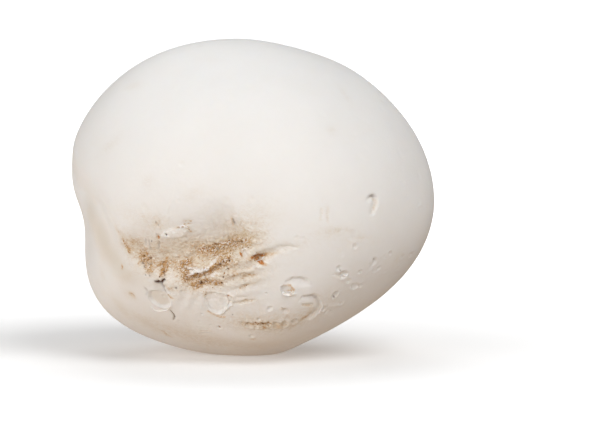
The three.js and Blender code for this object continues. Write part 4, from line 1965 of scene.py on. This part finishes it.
@dataclass
class SoilCrumbs:
    """Crumbs of soil caught in the folds and cracks."""

    count: int = 260
    smallest: float = 0.10
    largest: float = 0.42
    mostly_small: float = 2.4
    sunk: float = 0.35
    least_soil: float = 0.3
    on_soil: float = 1.5
    on_dark: float = 0.4
    stretch: Span = (0.65, 1.35)
    lumpy: float = 0.35
    lump_spread: float = 3.0
    lump_size: float = 2.4

    def crumb(self) -> bpy.types.Object:
        """Models one lumpy crumb, with a radius of about 1.

        Returns:
            The crumb.
        """
        deselect()
        bpy.ops.mesh.primitive_ico_sphere_add(subdivisions=2, radius=1.0)
        crumb = bpy.context.active_object
        points = vertex_places(crumb.data)
        lumps = fractal(points * self.lump_spread, self.lump_size, 2, 5.0)
        place_vertices(crumb.data, points * (1 + self.lumpy * lumps)[:, None])
        return crumb

    def spots(self, skin: bpy.types.Object) -> list[tuple[np.ndarray, np.ndarray, float]]:
        """Draws where crumbs lie: where the skin is soiled most.

        Args:
            skin: The finished skin.

        Returns:
            A place, an outward normal and a radius for each, in metres.
        """
        mesh = skin.data
        soil = np.empty(len(mesh.vertices), np.float32)
        mesh.attributes[Stain.SOIL.value].data.foreach_get("value", soil)
        dark = np.empty(len(mesh.vertices), np.float32)
        mesh.attributes[Stain.DARK.value].data.foreach_get("value", dark)
        chance = np.clip(soil - self.least_soil, 0, 1) ** self.on_soil + self.on_dark * dark
        normals = np.empty(len(mesh.vertices) * 3, np.float32)
        mesh.vertices.foreach_get("normal", normals)
        normals = normals.reshape(-1, 3)
        spots = vertex_places(mesh)
        draw = np.random.default_rng(SEED + 1)
        chosen = draw.choice(len(spots), self.count, replace=False, p=chance / chance.sum())
        share = draw.random(self.count) ** self.mostly_small
        sizes = self.smallest + (self.largest - self.smallest) * share
        return [(spots[i], normals[i], size * MM) for i, size in zip(chosen, sizes)]

    def build(self, skin: bpy.types.Object) -> bpy.types.Object:
        """Builds all crumbs as one piece.

        Args:
            skin: The finished skin, which they stick to.

        Returns:
            The piece.
        """
        model = self.crumb()
        draw = np.random.default_rng(SEED + 2)
        crumbs = []
        shape = vertex_places(model.data)
        for spot, normal, radius in self.spots(skin):
            crumb = model.copy()
            crumb.data = model.data.copy()
            bpy.context.collection.objects.link(crumb)
            turn, _ = np.linalg.qr(draw.normal(size=(3, 3)))
            stretch = draw.uniform(*self.stretch, 3)
            placed = shape * stretch @ turn * radius + spot - normal * radius * self.sunk
            place_vertices(crumb.data, placed)
            crumbs.append(crumb)
        bpy.data.objects.remove(model)
        return joined(crumbs, "soil_crumbs")


@dataclass
class RootThreads:
    """Thin threads of the cord that once held the ball in the ground, and stray rootlets."""

    thick: float = 0.17
    taper: float = 0.25
    threads: Sequence[Sequence[tuple[float, float, float]]] = (
        ((-40.3, -58.9, 0.1), (-38.9, -60.4, 0.35), (-38.1, -62.0, 0.3), (-38.3, -64.2, 0.05)),
        ((-33.4, -35.6, 0.0), (-31.0, -37.2, 0.7), (-28.2, -37.0, 0.9), (-26.0, -38.6, 0.0)),
        ((-8.8, -22.0, 0.0), (-6.4, -23.4, 0.8), (-3.4, -23.2, 0.6), (-1.2, -24.6, 0.0)),
        ((-52.2, -33.0, 0.0), (-50.6, -34.6, 0.5), (-48.4, -34.4, 0.1)),
        ((3.6, -32.8, 0.0), (5.4, -31.2, 1.1), (8.2, -32.0, 0.2)),
        ((-17.4, -25.2, 0.0), (-15.2, -27.4, 0.7), (-12.2, -27.2, 0.1)),
    )

    def thread(self, course: Sequence[tuple[float, float, float]], skin: BVHTree) -> bpy.types.Object:
        """Builds one thread that lies on the skin.

        Args:
            course: Places across and up, each with its height above the skin.
            skin: The finished skin.

        Returns:
            The thread, as a mesh.
        """
        points = []
        for across, up, high in course:
            at = shown(across, up)
            normal = BALL.outward(at)
            origin = Vector((at + np.array(BALL.middle) + normal * LOOK_FROM) * MM)
            hit = skin.ray_cast(origin, Vector(-normal))[0]
            points.append(np.array(hit) / MM + normal * high)
        line = Course(points).line() * MM
        curve = bpy.data.curves.new("thread", "CURVE")
        curve.dimensions = "3D"
        curve.bevel_depth = self.thick * MM
        curve.bevel_resolution = 2
        curve.use_fill_caps = True
        spline = curve.splines.new("POLY")
        spline.points.add(len(line) - 1)
        taper = np.sin(np.linspace(self.taper, math.pi - self.taper, len(line)))
        for point, place, radius in zip(spline.points, line, taper):
            point.co = (*place, 1.0)
            point.radius = radius
        thread = bpy.data.objects.new("thread", curve)
        bpy.context.collection.objects.link(thread)
        make_active(thread)
        bpy.ops.object.convert(target="MESH")
        return bpy.context.active_object

    def build(self, skin: BVHTree) -> bpy.types.Object:
        """Builds all threads as one piece.

        Args:
            skin: The finished skin.

        Returns:
            The piece.
        """
        return joined([self.thread(course, skin) for course in self.threads], "root_threads")


# The studio


@dataclass(frozen=True)
class Softbox:
    """One wide soft light: where it stands, its size and its strength."""

    name: str
    turn: float
    rise: float
    power: float
    size: float = 1.6
    away: float = 2.2
    colour: Colour = (1.0, 1.0, 1.0)


@dataclass
class Studio:
    """A pale floor, soft light and the camera of the front view."""

    pixels_wide: float = 612.0
    pixels_high: float = 426.0
    pixels_a_millimetre: float = 1.9
    middle_across: float = 246.7
    middle_down: float = 197.0
    sensor: float = 36.0
    world: float = 0.02
    floor_size: float = 60.0
    floor_drop: float = 0.0001
    floor_roughness: float = 0.9
    floor_specular: float = 0.1
    floor_seen: Colour = (0.85, 0.85, 0.85)
    floor_glow: float = 0.2
    floor_fade: tuple[float, float] = (0.08, 0.6)
    floor_bounce: Colour = (0.25, 0.19, 0.14)
    floor_warmth: Colour = (1.0, 0.84, 0.70)
    floor_lift: float = 0.34
    floor_dim: float = 0.18
    floor_dim_span: tuple[float, float] = (0.0, 0.25)
    lights: Sequence[Softbox] = (
        Softbox("high_on_the_right", 45, 50, 27.0),
        Softbox("low_on_the_left", -50, 6, 24.0),
        Softbox("beside_the_eye", -8, 1, 17.5),
        Softbox("left", -95, 15, 10.0),
        Softbox("front_right", 45, 22, 7.0),
        Softbox("behind", 180, 50, 15.0),
    )

    def camera(self) -> None:
        """Adds the camera where the front view is taken from."""
        data = bpy.data.cameras.new("camera")
        data.sensor_width = self.sensor
        data.lens = self.pixels_a_millimetre * BALL.eye_distance * self.sensor / self.pixels_wide
        data.shift_x = (self.pixels_wide / 2 - self.middle_across) / self.pixels_wide
        data.shift_y = (self.middle_down - self.pixels_high / 2) / self.pixels_wide
        data.clip_end = 100.0
        camera = bpy.data.objects.new("camera", data)
        camera.location = Vector((np.array(BALL.middle) + BALL.to_eye * BALL.eye_distance) * MM)
        camera.rotation_euler = Vector(-BALL.to_eye).to_track_quat("-Z", "Y").to_euler()
        bpy.context.scene.collection.objects.link(camera)
        bpy.context.scene.camera = camera

    def softboxes(self) -> None:
        """Adds the lights, each turned to the ball."""
        middle = Vector(BALL.middle) * MM
        for box in self.lights:
            data = bpy.data.lights.new(box.name, "AREA")
            data.shape = "DISK"
            data.size = box.size
            data.energy = box.power
            data.color = box.colour
            light = bpy.data.objects.new(box.name, data)
            turn = math.radians(box.turn)
            rise = math.radians(box.rise)
            level = math.cos(rise)
            towards = Vector((math.sin(turn) * level, -math.cos(turn) * level, math.sin(rise)))
            light.location = middle + towards * box.away
            light.rotation_euler = towards.to_track_quat("Z", "Y").to_euler()
            bpy.context.scene.collection.objects.link(light)

    def surroundings(self) -> None:
        """Lights the scene evenly from all round and keeps colours plain."""
        world = bpy.data.worlds.new("studio")
        world.use_nodes = True
        background = world.node_tree.nodes["Background"]
        background.inputs["Color"].default_value = WHITE
        background.inputs["Strength"].default_value = self.world
        bpy.context.scene.world = world
        bpy.context.scene.view_settings.view_transform = "Standard"

    def floor(self) -> bpy.types.Object:
        """Adds the floor: white to look at, and a dim warm glow to what lies on it.

        Returns:
            The floor.
        """
        deselect()
        bpy.ops.mesh.primitive_plane_add(size=self.floor_size, location=(0.0, 0.0, -self.floor_drop))
        floor = bpy.context.active_object
        floor.name = "floor"
        material, tree, shader, where = new_material("Pale floor")
        away = tree.node("ShaderNodeVectorMath", {0: where}, operation="LENGTH").outputs["Value"]
        white = {
            "Base Color": (*self.floor_seen, 1.0),
            "Roughness": self.floor_roughness,
            "Specular IOR Level": self.floor_specular,
            "Emission Color": WHITE,
            "Emission Strength": tree.plus(tree.spread(away, *self.floor_fade), self.floor_glow),
        }
        tree.fill(shader, white)
        sideways = tree.node("ShaderNodeSeparateXYZ", {0: where}).outputs["X"]
        dimmed = tree.times(tree.spread(sideways, *self.floor_dim_span), self.floor_dim)
        bounce = {
            "Base Color": (*self.floor_bounce, 1.0),
            "Roughness": self.floor_roughness,
            "Emission Color": (*self.floor_warmth, 1.0),
            "Emission Strength": tree.math("SUBTRACT", self.floor_lift, dimmed),
        }
        warm = tree.node("ShaderNodeBsdfPrincipled", bounce)
        seen_directly = tree.node("ShaderNodeLightPath").outputs["Is Camera Ray"]
        shaders = {0: seen_directly, 1: warm.outputs[0], 2: shader.outputs[0]}
        either = tree.node("ShaderNodeMixShader", shaders)
        tree.fill(material.node_tree.nodes["Material Output"], {"Surface": either.outputs[0]})
        floor.data.materials.append(material)
        return floor

    def build(self) -> None:
        """Sets the studio up."""
        self.camera()
        self.softboxes()
        self.surroundings()
        self.floor()


def main() -> None:
    """Builds the studio and the puffball, piece by piece."""
    logging.basicConfig(level=logging.INFO, format="%(name)s: %(message)s")
    Studio().build()
    groups = Groups()

    skin = FruitingBody().build()
    skin.data.materials.append(SkinFinish().material(groups))
    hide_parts(NODE)
    hand_over(skin, Slot.SKIN)

    surface = BVHTree.FromObject(skin, bpy.context.evaluated_depsgraph_get())
    flakes = LiftedSkin().build(surface)
    flakes.data.materials.append(FLAKE_FINISH.material(groups))
    hand_over(flakes, Slot.SKIN)

    threads = RootThreads().build(surface)
    threads.data.materials.append(ROOT_FINISH.material(groups))
    hand_over(threads, Slot.SKIN)

    crumbs = SoilCrumbs().build(skin)
    crumbs.data.materials.append(SoilFinish().material(groups))
    hand_over(crumbs, Slot.SOIL)


if __name__ == "__main__":
    main()
